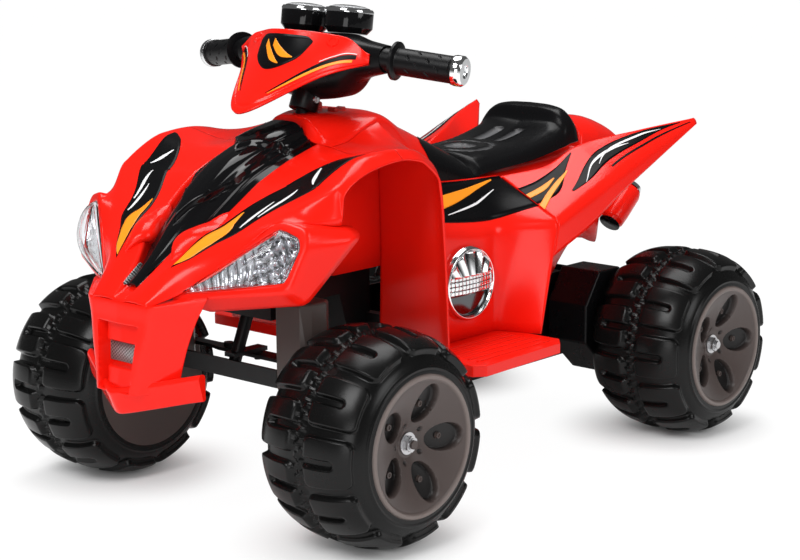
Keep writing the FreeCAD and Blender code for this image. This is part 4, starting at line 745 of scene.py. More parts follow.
class QUAD_OT_shell(bpy.types.Operator):
    """Cowl, leg shields, tank cover, side panels, wings and rear body"""

    bl_idname = "quad.shell"
    bl_label = "Body shell"

    def execute(self, context):
        cowl, pod = cowl_surface(), pod_surface()
        sheets = [Sheet(both_halves(cowl), inside=core("cowl"))]
        sheets += [Sheet(pod * flip, loop_rows=True) for _, flip in SIDES]
        piece("cowl_moulding", sheets, "red", replaces=["front_cowl"], wall=sizes().wall)
        tank = rounded(through(stations(TANK_SHARES), 70), EDGE_RADII["tank"])
        shell("tank_moulding", both_halves(tank), ["tank_cover"], inside=core("tank"))
        shield = shield_surface()
        panel = rounded(through(leaning(stations(SIDE_SHARES), [3]), 60), EDGE_RADII["panel"], flat=8)
        wing = rounded(through(leaning(stations(WING_SHARES), [0]), 80), EDGE_RADII["wing"], flat=5)
        for side, flip in SIDES:
            for name, surface, node in (
                    ("shield", shield, "leg_shield"), ("panel", panel, "side_panel"), ("wing", wing, "wing")):
                shell(f"{side}_{name}_moulding", surface * flip, [f"{side}_{node}"], inside=core(name) * flip)
            for name, surface, tables in (
                    ("fender", cowl, FENDER_FILMS), ("panel", panel, PANEL_FILMS),
                    ("wing", wing, WING_FILMS)):
                films(f"{side}_{name}", surface * flip, core(name) * flip, tables)
            film(f"{side}_tank_film", tank * flip, core("tank"), [TANK_FILM], "film", layer=2, count=70)
        piece("rear_moulding", rear_sheets(), "red", replaces=["rear_body"], wall=sizes().wall)
        return {"FINISHED"}


# Plates of the bonnet insert: start along it, slant of the start and half width, as shares
HOOD_PLATES = ((.34, .3, .7), (.66, .2, .9))
# Height of the plates and depth of the grooves, in metres
PLATE_LIFT = 0.008
GROOVE_DEPTH = 0.003


def hood_surface():
    """Bonnet insert: the rows of its table, raised by two pointed plates one behind the other and sunk by a
    groove along each side."""
    hood = both_halves(rounded(through(stations(HOOD_SHARES), 210), EDGE_RADII["hood"], arc=9, flat=14))
    along = np.linspace(0, 1, hood.shape[0])[:, None]
    side = np.abs(hood[..., 0]) / np.abs(hood[..., 0]).max(axis=1, keepdims=True)
    plates = sum(blend_step((along - start - slant * side) / 0.03) * blend_step((half - side) / 0.06)
                 for start, slant, half in HOOD_PLATES)
    groove = blend_step((0.06 - np.abs(side - 0.8)) / 0.05) * blend_step((along - 0.12) / 0.1)
    lift = PLATE_LIFT * plates - GROOVE_DEPTH * groove
    return hood + normals(hood, core("cowl")) * lift[..., None]


class QUAD_OT_hood(bpy.types.Operator):
    """Black bonnet insert with its plates, and the red lobe on each side of it"""

    bl_idname = "quad.hood"
    bl_label = "Bonnet insert"

    def execute(self, context):
        shell("hood_moulding", hood_surface(), ["hood_insert"], "gloss", inside=core("cowl"))
        cowl = cowl_surface()
        rows, columns = 90, 31
        along, across = np.linspace(0, 1, rows)[:, None, None], np.linspace(0, 1, columns)[None, :, None]
        dome = (4 * along * (1 - along)) ** 0.5 * 2.3 * across ** 0.4 * (1 - across)
        for side, flip in SIDES:
            under = core("fender") * flip
            film(f"{side}_tip_net", cowl * flip, under, [TIP_NET], "net")
            surface = even(cowl) * flip
            base, unit = (ribbon(surface, under, LOBE, lift, columns) for lift in (0.0, 1.0))
            lobe = base + (unit - base) * (LOBE_HEIGHT * dome - LOBE_SINK)
            piece(f"{side}_lobe", [Sheet(lobe, inside=under)], "red", wall=LOBE_WALL)
        return {"FINISHED"}


# Head lamp: how far the reflector lies back in outline units, then walls and relief in metres
DISH_DEPTH_SHARE = 0.03
GLASS_WALL = 0.002
DISH_WALL = 0.001
RIB_HEIGHT = 0.003
FACET_HEIGHT = 0.007
BOWL_DEPTH = 0.014
RIB_COUNT = 15


class QUAD_OT_lamps(bpy.types.Operator):
    """Head lamp glasses with the plated reflectors behind them"""

    bl_idname = "quad.lamps"
    bl_label = "Head lamps"

    def execute(self, context):
        field, length, cross = lens_field(0.0)
        out = normals(field, core("lamp"))
        dome = (4 * cross * (1 - cross)) ** 0.7 * np.sin(math.pi * length) ** 0.6
        glass = field + out * (sizes().lens_bulge * dome)[..., None]
        field, length, cross = lens_field(DISH_DEPTH_SHARE)
        inner = blend_step((0.62 - length) / 0.06)
        ribs = np.abs(np.sin(math.pi * RIB_COUNT * (length + 0.05 * cross)))
        facets = np.abs(np.sin(math.pi * (9 * length + 2.2 * cross)))
        facets = facets * np.abs(np.sin(math.pi * (4 * cross - 3 * length)))
        bowl = 4 * cross * (1 - cross) * blend_step((length - 0.25) / 0.3)
        fade = blend_step(cross / 0.14) * blend_step((1 - cross) / 0.14)
        relief = fade * (RIB_HEIGHT * ribs * inner + FACET_HEIGHT * facets * (1 - inner)) - BOWL_DEPTH * bowl
        # Painted shade in the valleys between the ribs and between the facets
        painted_recess_shade = np.maximum(blend_step((0.34 - ribs) / 0.3) * inner,
                         blend_step((0.22 - facets) / 0.2) * (1 - inner))
        dish = field + out * relief[..., None]
        for side, flip in SIDES:
            behind = core("lamp") * flip
            shell(f"{side}_lamp_glass", glass * flip, [f"{side}_headlamp_lens"], "glass", inside=behind,
                  wall=GLASS_WALL)
            piece(f"{side}_lamp_dish", [Sheet(dish * flip, inside=behind)], "reflector", wall=DISH_WALL,
                  attributes={"painted_recess_shade": painted_recess_shade})
        return {"FINISHED"}


# Hollows of the saddle, in outline units: place along, half width and half length
SADDLE_OVAL = (4.95, .27, .25)
SADDLE_RING = (4.98, .5, .46)
SADDLE_BAR = (5.92, .075, .33)
RING_HALF = 0.045
BAR_ASIDE = 0.19
BAR_CORNER = 0.06
HOLLOW_EDGE = 0.03
# Depth of the saddle's hollows in metres, and how strongly a painted reflection lightens them
HOLLOW_DEPTH = 0.004
HOLLOW_PAINTED_SHEEN = 0.8


def oval_distance(x, y, half_x, half_y):
    """Nearly the signed distance to an oval, negative inside."""
    return (np.hypot(x / half_x, y / half_y) - 1) * (half_x + half_y) / 2


class QUAD_OT_saddle(bpy.types.Operator):
    """Hard moulded saddle with an oval, a ring round it and two bars sunk into it, their floors lightened
    grey by a painted reflection
    """

    bl_idname = "quad.saddle"
    bl_label = "Saddle"

    def execute(self, context):
        saddle = both_halves(rounded(through(stations(SADDLE_SHARES), 230), EDGE_RADII["saddle"], flat=14))
        unit = sizes().outline_unit
        across, along = saddle[..., 0] / unit, (saddle[..., 1] - FRONT_WHEEL[1]) / unit
        spot, *halves = SADDLE_OVAL
        oval = oval_distance(across, along - spot, *halves)
        spot, *halves = SADDLE_RING
        ring = np.abs(oval_distance(across, along - spot, *halves)) - RING_HALF
        spot, *halves = SADDLE_BAR
        bars = box_distance(np.abs(across) - BAR_ASIDE, along - spot, *halves, BAR_CORNER)
        sunk = blend_step(-np.minimum(np.minimum(oval, ring), bars) / HOLLOW_EDGE)
        saddle[..., 2] -= HOLLOW_DEPTH * sunk
        # Where it is sunk, the saddle is lightened grey by a painted reflection
        shell("saddle_moulding", saddle, ["saddle"], "saddle", inside=core("saddle"),
              attributes={"sunk": HOLLOW_PAINTED_SHEEN * sunk})
        return {"FINISHED"}


# Power of the handlebar housing's section, 2 for a plain ellipse
HOUSING_POWER = 2.5


def housing_surface():
    """Handlebar housing: rounded square sections whose size and place change along the bar."""
    table = np.array(HOUSING_SHARES)
    table = np.concatenate([table, table[-2::-1] * [-1, 1, 1, 1, 1]])
    centre = place(table[:, :3])
    half = table[:, 3:] * sizes().outline_unit
    rows = np.stack([centre, np.stack([half[:, 0], half[:, 1], 0 * half[:, 0]], axis=-1)], axis=1)
    along = through(rows, 90)
    angle = full_turn(48)
    waves = np.cos(angle), np.sin(angle)
    across, up = (np.sign(wave) * np.abs(wave) ** (2 / HOUSING_POWER) for wave in waves)
    offset = np.stack([0 * across[None] * along[:, 1, 0:1], across[None] * along[:, 1, 0:1],
                       up[None] * along[:, 1, 1:2]], axis=-1)
    return capped(along[:, None, 0] + offset)


# Grip, in metres and counts: body, flange and bead, then the rings of slanted dimples
GRIP_RADIUS = 0.019
GRIP_LENGTH = 0.092
GRIP_OFFSET = 0.012
FLANGE_RISE = 0.008
BEAD_RISE = 0.0015
DIMPLE_START = 0.018
DIMPLE_PITCH = 0.015
DIMPLE_RINGS = 4
DIMPLE_COUNT = 6
DIMPLE_HALF = (.0045, .0014)
DIMPLE_CORNER = 0.0012
DIMPLE_DEPTH = 0.0013
GRIP_ENDS_SHARE = ((1.4, 1.7, 4.78), (2.44, 2.0, 4.66))


def grip_surface():
    """Grip about its own axis: a flange, a round body with slanted dimples in staggered rings, a bead."""
    along = np.linspace(0, 1, 150)[:, None]
    angle = full_turn(120)[None, :]
    radius = GRIP_RADIUS + FLANGE_RISE * blend_step((0.07 - along) / 0.03)
    radius = radius + BEAD_RISE * blend_step((along - 0.95) / 0.02)
    run = GRIP_LENGTH * along
    ring = np.floor((run - DIMPLE_START) / DIMPLE_PITCH)
    near = (run - DIMPLE_START) % DIMPLE_PITCH - DIMPLE_PITCH / 2
    half_pitch = math.pi / DIMPLE_COUNT
    aside = ((angle + ring * half_pitch) % (2 * half_pitch) - half_pitch) * GRIP_RADIUS
    slant = math.sqrt(2)
    dimple = box_distance((near + aside) / slant, (near - aside) / slant, *DIMPLE_HALF, DIMPLE_CORNER)
    radius = radius - DIMPLE_DEPTH * blend_step(-dimple / 0.0008) * (ring >= 0) * (ring < DIMPLE_RINGS)
    height = GRIP_OFFSET + run + 0 * angle
    points = np.stack([radius * np.cos(angle), radius * np.sin(angle), height], axis=-1)
    return np.concatenate([points[:1] * [0, 0, 1], points, points[-1:] * [0, 0, 1]])


# Turned pieces of the handlebar, wheels and tail lamps, (radius, height) in metres
SLEEVE = ((0, 0), (.0195, 0), (.0205, .001), (.0205, .03), (.0225, .031), (.0225, .062), (0, .062))
STEM_BOLT = ((0, .004), (.003, .004), (.0034, .0026), (.0052, .0026), (.0058, 0))
SCREEN_SCREW = ((0, .001), (.0045, .001), (.005, .0022), (.008, .0022), (.0092, -.0005))
GRIP_TUBE = ((0, -.006), (.0165, -.006), (.0165, .016), (0, .016))
GAUGE_RING = ((.035, .029), (.0353, .0325), (.0335, .0352), (.0312, .0346), (.0305, .032))
GAUGE_MARKS = (((.02, .0336), (.0225, .0336)), ((.004, .0336), (.0, .0342)))
GAUGE_GLASS = ((.0312, .0342), (.029, .0367), (.022, .039), (.012, .0402), (0, .0406))
DISC_SCREW = ((0, .003), (.002, .003), (.0024, .0042), (.0042, .0042), (.005, 0))
# Black disc over a tail lamp's open end: painted shade for its dark inside
TAIL_OPENING_SHADE = ((.0185, -.0008), (0, -.0008))
TAIL_TIP = ((.0175, .077), (.0172, .083), (.015, .0845), (.013, .083), (0, .082))
# Places and depths of the handlebar's small pieces, in metres, outline units, shares and grid numbers
SLEEVE_GAP = 0.002
BOLT_RISE = 0.018
BOLT_REACH = 0.0202
GAUGE_SEAT_SHARE = (.4307, 1.93, 5.083)
GAUGE_LEAN = math.radians(8)
GAUGE_GLASS_WALL = 0.0015
SCREEN_GROOVE_SHARE = 0.09
SCREEN_GROOVE_DEPTH = 0.0016
SCREW_ROWS = (52, 127)
SCREW_COLUMN = 50
# Films on the handlebar's shield, from its left end over the middle to its right end
SCREEN_FIELD = ((.36, .82, .86), (.39, .63, .93), (.5, .56, .95), (.61, .63, .93), (.64, .82, .86))
SCREEN_SLASHES = (
    ((.41, .66, .67), (.46, .7, .78), (.52, .82, .9)),
    ((.46, .62, .63), (.51, .67, .75), (.57, .8, .88)),
)
SCREEN_FILMS = {
    "film": [((.1, .42, .6), (.2, .36, .5), (.32, .28, .36), (.43, .2, .21))],
    "orange": [((.12, .27, .37), (.22, .25, .33), (.34, .2, .26), (.42, .17, .18))],
    "pale": [((.1, .63, .66), (.2, .525, .55), (.3, .405, .42))],
}


def build_stem():
    """Housing with the sleeve that follows the steering axis up from the tank, and the sleeve's bolts."""
    foot, rise = np.array(JOINTS["steer"]["pos_m"]), np.array(JOINTS["steer"]["axis"])
    start = (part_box("tank_cover")[1].z + SLEEVE_GAP - foot[2]) / rise[2]
    sheets = [Sheet(housing_surface(), loop_columns=True), lathed(SLEEVE, foot + rise * start, rise)]
    piece("housing_moulding", sheets, "black", "steering", ["handlebar_housing"])
    seat = foot + rise * (start + BOLT_RISE)
    ways = [flip * ACROSS for _, flip in SIDES]
    heads = [lathed(STEM_BOLT, seat + BOLT_REACH * way, way, 24) for way in ways]
    piece("stem_bolts", heads, "steel", "steering")


def build_screen():
    """Shield in front of the housing: a shallow groove near its lower edge, films and two screws."""
    table = place(SCREEN_SHARES)
    rows = np.concatenate([table, (table * RIGHT)[-2::-1]])
    columns, inside = 60, core("screen")
    screen = even(rounded(through(rows, 180), EDGE_RADII["screen"], flat=8), columns)
    share = np.linspace(0, 1, columns)
    sunk = blend_step((0.02 - np.abs(share - SCREEN_GROOVE_SHARE)) / 0.012)[None, :, None]
    screen = screen - normals(screen, inside) * SCREEN_GROOVE_DEPTH * sunk
    shell("screen_moulding", screen, ["steering_shield"], inside=inside, body="steering")
    film("screen_field", screen, inside, [SCREEN_FIELD], "film", 1, "steering")
    film("screen_slashes", screen, inside, SCREEN_SLASHES, "orange", 2, "steering")
    for side, flip in SIDES:
        films(f"{side}_screen", screen * flip, inside, SCREEN_FILMS, "steering")
    seats, out = screen[SCREW_ROWS, SCREW_COLUMN], normals(screen, inside)[SCREW_ROWS, SCREW_COLUMN]
    screws = [lathed(SCREEN_SCREW, seat, way, 32, inside=seat - way) for seat, way in zip(seats, out)]
    piece("screen_screws", screws, "red", "steering")


def build_gauge(side, flip):
    """Plated ring, dial marks and domed glass of one gauge."""
    seat, up = place(GAUGE_SEAT_SHARE) * flip, (0, math.sin(GAUGE_LEAN), math.cos(GAUGE_LEAN))
    ring = lathed(GAUGE_RING, seat, up)._replace(loop_rows=True)
    piece(f"{side}_gauge_ring", [ring], "chrome", "steering")
    marks = [lathed(profile, seat, up, inside=seat) for profile in GAUGE_MARKS]
    piece(f"{side}_gauge_marks", marks, "pale", "steering", wall=FILM_WALL)
    glass = lathed(GAUGE_GLASS, seat, up, inside=seat)
    piece(f"{side}_gauge_glass", [glass], "glass", "steering", wall=GAUGE_GLASS_WALL)


class QUAD_OT_handlebar(bpy.types.Operator):
    """Handlebar housing with its stem, shield, grips and gauges"""

    bl_idname = "quad.handlebar"
    bl_label = "Handlebar"

    def execute(self, context):
        build_stem()
        build_screen()
        start, end = place(GRIP_ENDS_SHARE)
        shapes = [aimed(shape, start, end - start) for shape in (grip_surface(), turned(GRIP_TUBE))]
        for side, flip in SIDES:
            sheets = [Sheet(shape * flip, loop_columns=True) for shape in shapes]
            piece(f"{side}_grip_moulding", sheets, "grip", "steering", [f"{side}_grip"])
            build_gauge(side, flip)
        return {"FINISHED"}


# Radii of tyre bead and disc edge as shares of the tyre's radius
BEAD_SHARE = 0.094 / 0.148
DISC_SHARE = 0.0965 / 0.148
# Tyre pads and their slots, in metres across the tyre from its middle line: middle, half length and corner
PAD_ACROSS = (.045, .036, .012)
PAD_PITCH_SHARE = 0.43
SLOT_ACROSS = (.03, .024, .003)
SLOT_HALF = 0.0042
# Toothed seam's count, half width and share of the pads' height, bead's place across and share
TOOTH_COUNT = 60
TOOTH_REACH = 0.007
TOOTH_SHARE = 0.55
BEAD_ACROSS = 0.099
BEAD_LIFT_SHARE = 0.2
# Powers of the tyre's section across and outwards, 2 for a plain ellipse
SECTION_POWERS = (2.6, 2.2)


def tyre_profile(count):
    """Half width and radius across the tyre: a flattened ellipse from bead to bead."""
    angle = np.linspace(-math.pi / 2, math.pi / 2, count)
    bead = BEAD_SHARE * TYRE_RADIUS
    crown = TYRE_RADIUS - sizes().pad_height - bead
    flat, steep = SECTION_POWERS
    across = TYRE_HALF * np.sign(np.sin(angle)) * np.abs(np.sin(angle)) ** (2 / flat)
    return across, bead + crown * np.abs(np.cos(angle)) ** (2 / steep)


def tyre_surface():
    """Tyre: the profile turned about the axle, raised by pads with a slot each, and by a toothed seam."""
    across, radius = tyre_profile(110)
    girth = np.concatenate([[0], np.cumsum(np.hypot(np.diff(across), np.diff(radius)))])
    girth = (girth - girth[-1] / 2)[:, None]
    angle = full_turn(600)[None, :]
    pitch = 2 * math.pi / sizes().pad_count
    side, reach = girth > 0, np.abs(girth)
    run = ((angle + np.where(side, 0, pitch / 2)) % pitch - pitch / 2) * TYRE_RADIUS
    middle_line, half, corner = PAD_ACROSS
    pad = box_distance(run, reach - middle_line, PAD_PITCH_SHARE * pitch * TYRE_RADIUS, half, corner)
    middle_line, half, corner = SLOT_ACROSS
    slot = box_distance(run, reach - middle_line, SLOT_HALF, half, corner)
    high = blend_step(-pad / 0.004) * blend_step(slot / 0.003)
    wave = np.sin(angle * TOOTH_COUNT + np.where(side, 0, math.pi))
    teeth = blend_step((TOOTH_REACH - reach) / 0.002) * blend_step(2.5 * wave + 0.5)
    bead = blend_step((0.0025 - np.abs(reach - BEAD_ACROSS)) / 0.0015)
    lift = sizes().pad_height * np.maximum(np.maximum(high, TOOTH_SHARE * teeth), BEAD_LIFT_SHARE * bead)
    lean = np.gradient(across), np.gradient(radius)
    length = np.hypot(*lean)
    out_x, out_r = -lean[1] / length, lean[0] / length
    x = across[:, None] + lift * out_x[:, None]
    r = radius[:, None] + lift * out_r[:, None]
    return np.stack([x, r * np.cos(angle), r * np.sin(angle)], axis=-1)


# Wheel disc, in metres
DISH_DEPTH = 0.0264
RIM_LIFT = 0.003
DIMPLE_SINK = 0.003
SCREW_DEPTH = 0.0225
# Pockets, dimples and screws of the disc, as shares of its radius
POCKET_PLACE = 0.58
POCKET_HALF = (.29, .2)
DIMPLE_PLACE = 0.27
SCREW_PLACE = 0.56


def disc_surface(edge):
    """Wheel disc: a dished plate with oval pockets, each a smooth step down inside its oval, and small
    dimples between them. Also the masks for painted shade in the pockets and dimples and for a painted
    highlight on the rim."""
    share = np.linspace(0, 1, 90)[:, None]
    angle = full_turn(360)[None, :]
    radius = edge * share
    dish = -DISH_DEPTH * np.clip((0.9 - share) / 0.7, 0, 1) ** 1.2 + 0 * angle
    rim = blend_step((share - 0.9) / 0.04) * blend_step((1.0 - share) / 0.02)
    pitch = 2 * math.pi / sizes().pocket_count
    phase = (angle + pitch / 2) % pitch - pitch / 2
    along, aside = radius * np.cos(phase) - POCKET_PLACE * edge, radius * np.sin(phase)
    oval = np.hypot(along / (POCKET_HALF[0] * edge), aside / (POCKET_HALF[1] * edge)) - 1
    pocket = blend_step(-oval / 0.12)
    hub = (angle + pitch) % pitch - pitch / 2
    dimple = np.hypot(radius * np.cos(hub) - DIMPLE_PLACE * edge, radius * np.sin(hub))
    small = blend_step((0.045 * edge - dimple) / (0.03 * edge))
    depth = dish + RIM_LIFT * rim - sizes().pocket_depth * pocket - DIMPLE_SINK * small
    points = np.stack([depth, radius * np.cos(angle), radius * np.sin(angle)], axis=-1)
    return points, np.maximum(pocket, small), rim + 0 * angle


class QUAD_OT_wheels(bpy.types.Operator):
    """Four tyres with paddle pads and their dished discs"""

    bl_idname = "quad.wheels"
    bl_label = "Wheels"

    def execute(self, context):
        tyre = tyre_surface()
        edge = DISC_SHARE * TYRE_RADIUS
        disc, pocket, rim = disc_surface(edge)
        # Masks for painted shade in the pockets and dimples and for a painted highlight on the rim
        marks = {"pocket": pocket, "rim": rim}
        marks = {name: np.concatenate([values, 0 * values[:2]]) for name, values in marks.items()}
        angle, ring = full_turn(sizes().pocket_count), SCREW_PLACE * edge
        depth = 0 * angle + TYRE_HALF - SCREW_DEPTH
        seats = np.stack([depth, ring * np.cos(angle), ring * np.sin(angle)], axis=-1)
        face, back = disc + TYRE_HALF * ACROSS, disc[[0, -1]] * [0, 1, 1] - TYRE_HALF * ACROSS
        for end in ("front", "rear"):
            for side, flip in SIDES:
                wheel = f"{end}_{side}"
                body, hub = f"{wheel}_wheel", middle(f"{wheel}_tyre")
                piece(f"{wheel}_tyre_moulding", [Sheet(tyre * flip + hub, loop_columns=True)], "tyre", body,
                      [f"{wheel}_tyre"], sharp=TYRE_SHARP_ANGLE)
                sheets = [Sheet(plate * flip + hub, loop_columns=True, inside=hub) for plate in (face, back)]
                piece(f"{wheel}_disc_moulding", sheets, "disc", body, [f"{wheel}_wheel_disc"],
                      attributes=marks)
                screws = [lathed(DISC_SCREW, seat * flip + hub, flip * ACROSS, 20) for seat in seats]
                piece(f"{wheel}_disc_screws", screws, "strut", body)
        return {"FINISHED"}


# Softening of edges: corners this near are one, and edges sharper than this angle are rounded
SOFT_WELD = 2e-5
SOFT_ANGLE = math.radians(40)
# Finishes and edge radii of the pieces that keep their construction shape
NODE_FINISHES = {
    "red": ("left_footboard", "right_footboard", "left_tail_lamp", "right_tail_lamp"),
    "gloss": ("gauges",),
    "black": ("left_gearbox", "right_gearbox", "left_motor", "right_motor", "battery", "pedal_base", "pedal"),
    "frame": ("chassis_frame", "front_axle_beam", "rear_axle_beam", "tie_rod", "steering_column"),
    "strut": ("left_strut", "right_strut", "left_knuckle", "right_knuckle"),
    "steel": ("rear_axle", "rear_nuts", "front_left_nut", "front_right_nut"),
    "chrome": ("grip_caps",),
    "button": ("power_switch", "gear_switch", "horn_button", "music_button"),
}
SOFT_EDGES = {
    .001: ("pedal", "grip_caps"),
    .002: ("left_footboard", "right_footboard", "gauges"),
    .003: ("left_tail_lamp", "right_tail_lamp"),
    .004: ("left_gearbox", "right_gearbox", "left_strut", "right_strut"),
}


def dress_nodes():
    """Finishes and softened edges on the pieces that keep their construction shape."""
    for kind, names in NODE_FINISHES.items():
        for name in names:
            node = NODES[name]
            for holder in node.material_slots:
                holder.material = finish(kind)
            if not node.material_slots:
                node.data.materials.append(finish(kind))
    for width, names in SOFT_EDGES.items():
        for name in names:
            weld = NODES[name].modifiers.new("Weld", "WELD")
            weld.merge_threshold = SOFT_WELD
            edge = NODES[name].modifiers.new("Edge", "BEVEL")
            edge.width = width
            edge.segments = 3
            edge.limit_method = "ANGLE"
            edge.angle_limit = SOFT_ANGLE
            edge.harden_normals = True


# Nose mask from its lid down, each row the middle, the front's edge and the side's rear
NOSE_SHARES = (
    ((0, -1.9, 1.79), (.5, -1.88, 1.79), (1.0, -1.45, 1.93)),
    ((0, -2.075, 1.785), (.64, -2.045, 1.785), (1.14, -1.53, 1.87)),
    ((0, -2.1, 1.55), (.57, -2.075, 1.55), (1.0, -1.6, 1.56)),
    ((0, -2.145, 1.2), (.5, -2.12, 1.2), (.87, -1.65, 1.2)),
    ((0, -2.18, .9), (.42, -2.16, .9), (.79, -1.68, .9)),
    ((0, -2.225, .58), (.36, -2.2, .58), (.72, -1.7, .58)),
)
# Prow lip's section at its end and in the middle
LIP_SHARES = (
    (1.13, ((-1.63, .52), (-1.71, .84), (-1.67, .9), (-1.59, .88), (-1.59, .54))),
    (0, ((-2.16, .24), (-2.3, .56), (-2.26, .62), (-1.86, .6), (-1.86, .28))),
)
# How softly the lip bends in the middle, as a squared share of its half length
LIP_SOFTNESS = 0.004
# Window of the nose: its lower and upper edge in outline units, its depth and the panels' height in metres
WINDOW_SHARES = (.6, 1.5)
WINDOW_DEPTH = 0.022
PANEL_HEIGHT = 0.012
# Corners of the net in the window, and the wall of thin plates
NET_SHARES = (((-.31, -1.968, .94), (.31, -1.968, .94)), ((-.335, -1.937, 1.19), (.335, -1.937, 1.19)))
THIN_WALL = 0.0005


def nose_surface():
    """Nose mask: smooth rows from the lid down, with a window sunk into the front that narrows downwards and
    two stepped panels in it, above and below the net."""
    half = rounded(through(place(NOSE_SHARES), 200), EDGE_RADII["nose"], arc=9, flat=40)
    unit = sizes().outline_unit
    across, up = half[..., 0] / unit, (half[..., 2] - FRONT_WHEEL[2]) / unit
    low, top = WINDOW_SHARES
    edge = 0.3 + 0.1 * (up - 0.63) / 0.87
    window = blend_step((edge - across) / 0.03) * blend_step((top - up) / 0.03)
    window = window * blend_step((up - low) / 0.03)
    step = np.maximum(blend_step((up - 1.2) / 0.04), blend_step((0.92 - up) / 0.04))
    step = step * blend_step((edge - 0.06 - across) / 0.03)
    half[..., 1] += WINDOW_DEPTH * window - PANEL_HEIGHT * window * step
    return both_halves(half)


def lip_surface():
    """Prow lip: one rounded section swept from end to end over the middle, closed to a point at both ends."""
    end, centre = place([[(across, along, up) for along, up in line] for across, line in LIP_SHARES])
    run = np.linspace(1, -1, 61)[:, None, None]
    share = np.sqrt(run ** 2 + LIP_SOFTNESS) / math.sqrt(1 + LIP_SOFTNESS)
    sweep = centre * (1 - share) + end * share
    sweep[..., 0] = end[0, 0] * run[..., 0]
    return capped(rounded(sweep, EDGE_RADII["lip"], closed=True))


# Round engine trim in metres, and where its rim starts as a share of its radius
TRIM_DOME = 0.013
TRIM_FACET = 0.005
TRIM_BOWL = 0.004
TRIM_TILE = (.0075, .007)
TRIM_GAP = 0.0016
TRIM_RIM = 0.004
TRIM_RIM_SHARE = 0.88
# Tail lamps' axis and length
TAIL_WAY = np.array([0, 0.766, 0.643])
TAIL_LENGTH = 0.078


def trim_surface(radius):
    """Round trim: a plated rim round a dome with a fan of facets above, a mosaic band across the middle and a
    sunk bowl below. Also the dark mask: painted shade in the mosaic's grooves and the facets' valleys, and
    the bowl painted dark."""
    share = np.linspace(0, 1, 84)[:, None]
    angle = full_turn(260)[None, :]
    along, up = radius * share * np.cos(angle), radius * share * np.sin(angle)
    high = TRIM_DOME * np.sqrt(1 - 0.8 * share ** 2) + 0 * angle
    field = blend_step((TRIM_RIM_SHARE - share) / 0.03)
    above, below = blend_step((up - 0.011) / 0.003), blend_step((-0.013 - up) / 0.003)
    fan = np.arctan2(along, up + 0.03) / 0.3
    facet = np.abs(fan % 1 - 0.5) * 2
    line = np.maximum(*(np.abs((way / tile) % 1 - 0.5) for way, tile in zip((along, up), TRIM_TILE)))
    painted_recess_shade = blend_step((line - 0.4) / 0.05) * (1 - above) * (1 - below) * field
    relief = field * (TRIM_FACET * facet * above - TRIM_BOWL * below) - TRIM_GAP * painted_recess_shade
    # Painted shade over the facets' valleys, and the bowl painted dark
    painted_recess_shade = np.maximum(painted_recess_shade, field * np.maximum(above * blend_step((0.5 - facet) / 0.4) * 0.9, 0.93 * below))
    rim = TRIM_RIM * blend_step((share - TRIM_RIM_SHARE) / 0.03) * blend_step((1 - share) / 0.05)
    return np.stack([high + relief + rim, along, up], axis=-1), painted_recess_shade


class QUAD_OT_fittings(bpy.types.Operator):
    """Finishes on the plain pieces, round trims, tail lamp ends, nose, prow lip and net"""

    bl_idname = "quad.fittings"
    bl_label = "Fittings"

    def execute(self, context):
        dress_nodes()
        low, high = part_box("left_engine_trim")
        trim, painted_recess_shade = trim_surface((high.z - low.z) / 2)
        rear = np.concatenate([trim[-1:], trim[-1:] * [0, 1, 1], trim[-1:] * 0])
        # Mask of the trim's painted shade
        marks = {"painted_recess_shade": np.concatenate([painted_recess_shade, painted_recess_shade[:3] * 0])}
        for side, flip in SIDES:
            hub, way = middle(f"{side}_engine_trim"), flip * ACROSS
            hub[0] = flip[0] * low.x
            sheets = [Sheet(points * flip + hub, loop_columns=True, inside=inside)
                      for points, inside in ((trim, hub - way), (rear, hub + 0.001 * way))]
            piece(f"{side}_trim_face", sheets, "mosaic", replaces=[f"{side}_engine_trim"], attributes=marks)
        for side, _ in SIDES:
            # Each tail lamp's open end is closed by a black disc of painted shade
            foot = middle(f"{side}_tail_lamp") - TAIL_WAY * TAIL_LENGTH / 2
            opening_shade = lathed(TAIL_OPENING_SHADE, foot, TAIL_WAY, inside=foot + TAIL_WAY)
            piece(f"{side}_tail_opening_shade", [opening_shade], "black", wall=THIN_WALL)
            piece(f"{side}_tail_tip", [lathed(TAIL_TIP, foot, TAIL_WAY, inside=foot)], "chrome")
        shell("nose_moulding", nose_surface(), ["front_bumper"], inside=core("nose"))
        piece("lip_moulding", [Sheet(lip_surface(), loop_columns=True)], "red", replaces=["grille_panel"])
        piece("grille_net", [Sheet(place(NET_SHARES), inside=core("net"))], "net", wall=THIN_WALL)
        return {"FINISHED"}


# Camera: place and target in metres, roll in degrees, shift as shares of the picture's width
CAMERA_PLACE = (1.880, -2.084, 0.842)
CAMERA_TARGET = (0.0, 0.081, 0.261)
CAMERA_ROLL = -0.16
CAMERA_SHIFT = (-0.0294, -0.0009)
SENSOR_WIDTH = 36.0
# Soft lamps: name, place, power and size
LAMPS = (
    ("key", (0.6, -2.4, 2.6), 58, 1.3),
    ("fill", (2.8, 0.2, 1.6), 21, 1.2),
    ("low", (1.6, -2.7, 0.7), 16, 1.2),
    ("top", (-0.4, 0.4, 3.0), 58, 1.8),
)
LAMP_TARGET = (0, 0, 0.3)
# Strength of the surroundings, what mirrored rays lose of it and what shown rays gain
WORLD_STRENGTH = 0.42
WORLD_MIRRORED = -0.32
WORLD_SHOWN = 0.65
FLOOR_REACH = 30.0
FLOOR_COLOUR = (0.9, 0.9, 0.9, 1)
FLOOR_GLOW = 1.05
# Distances from a wheel's foot between which the floor's shadow fades, and how far it fades
SHADOW_FADE = (0.02, 0.22)
SHADOW_FADED = 0.93


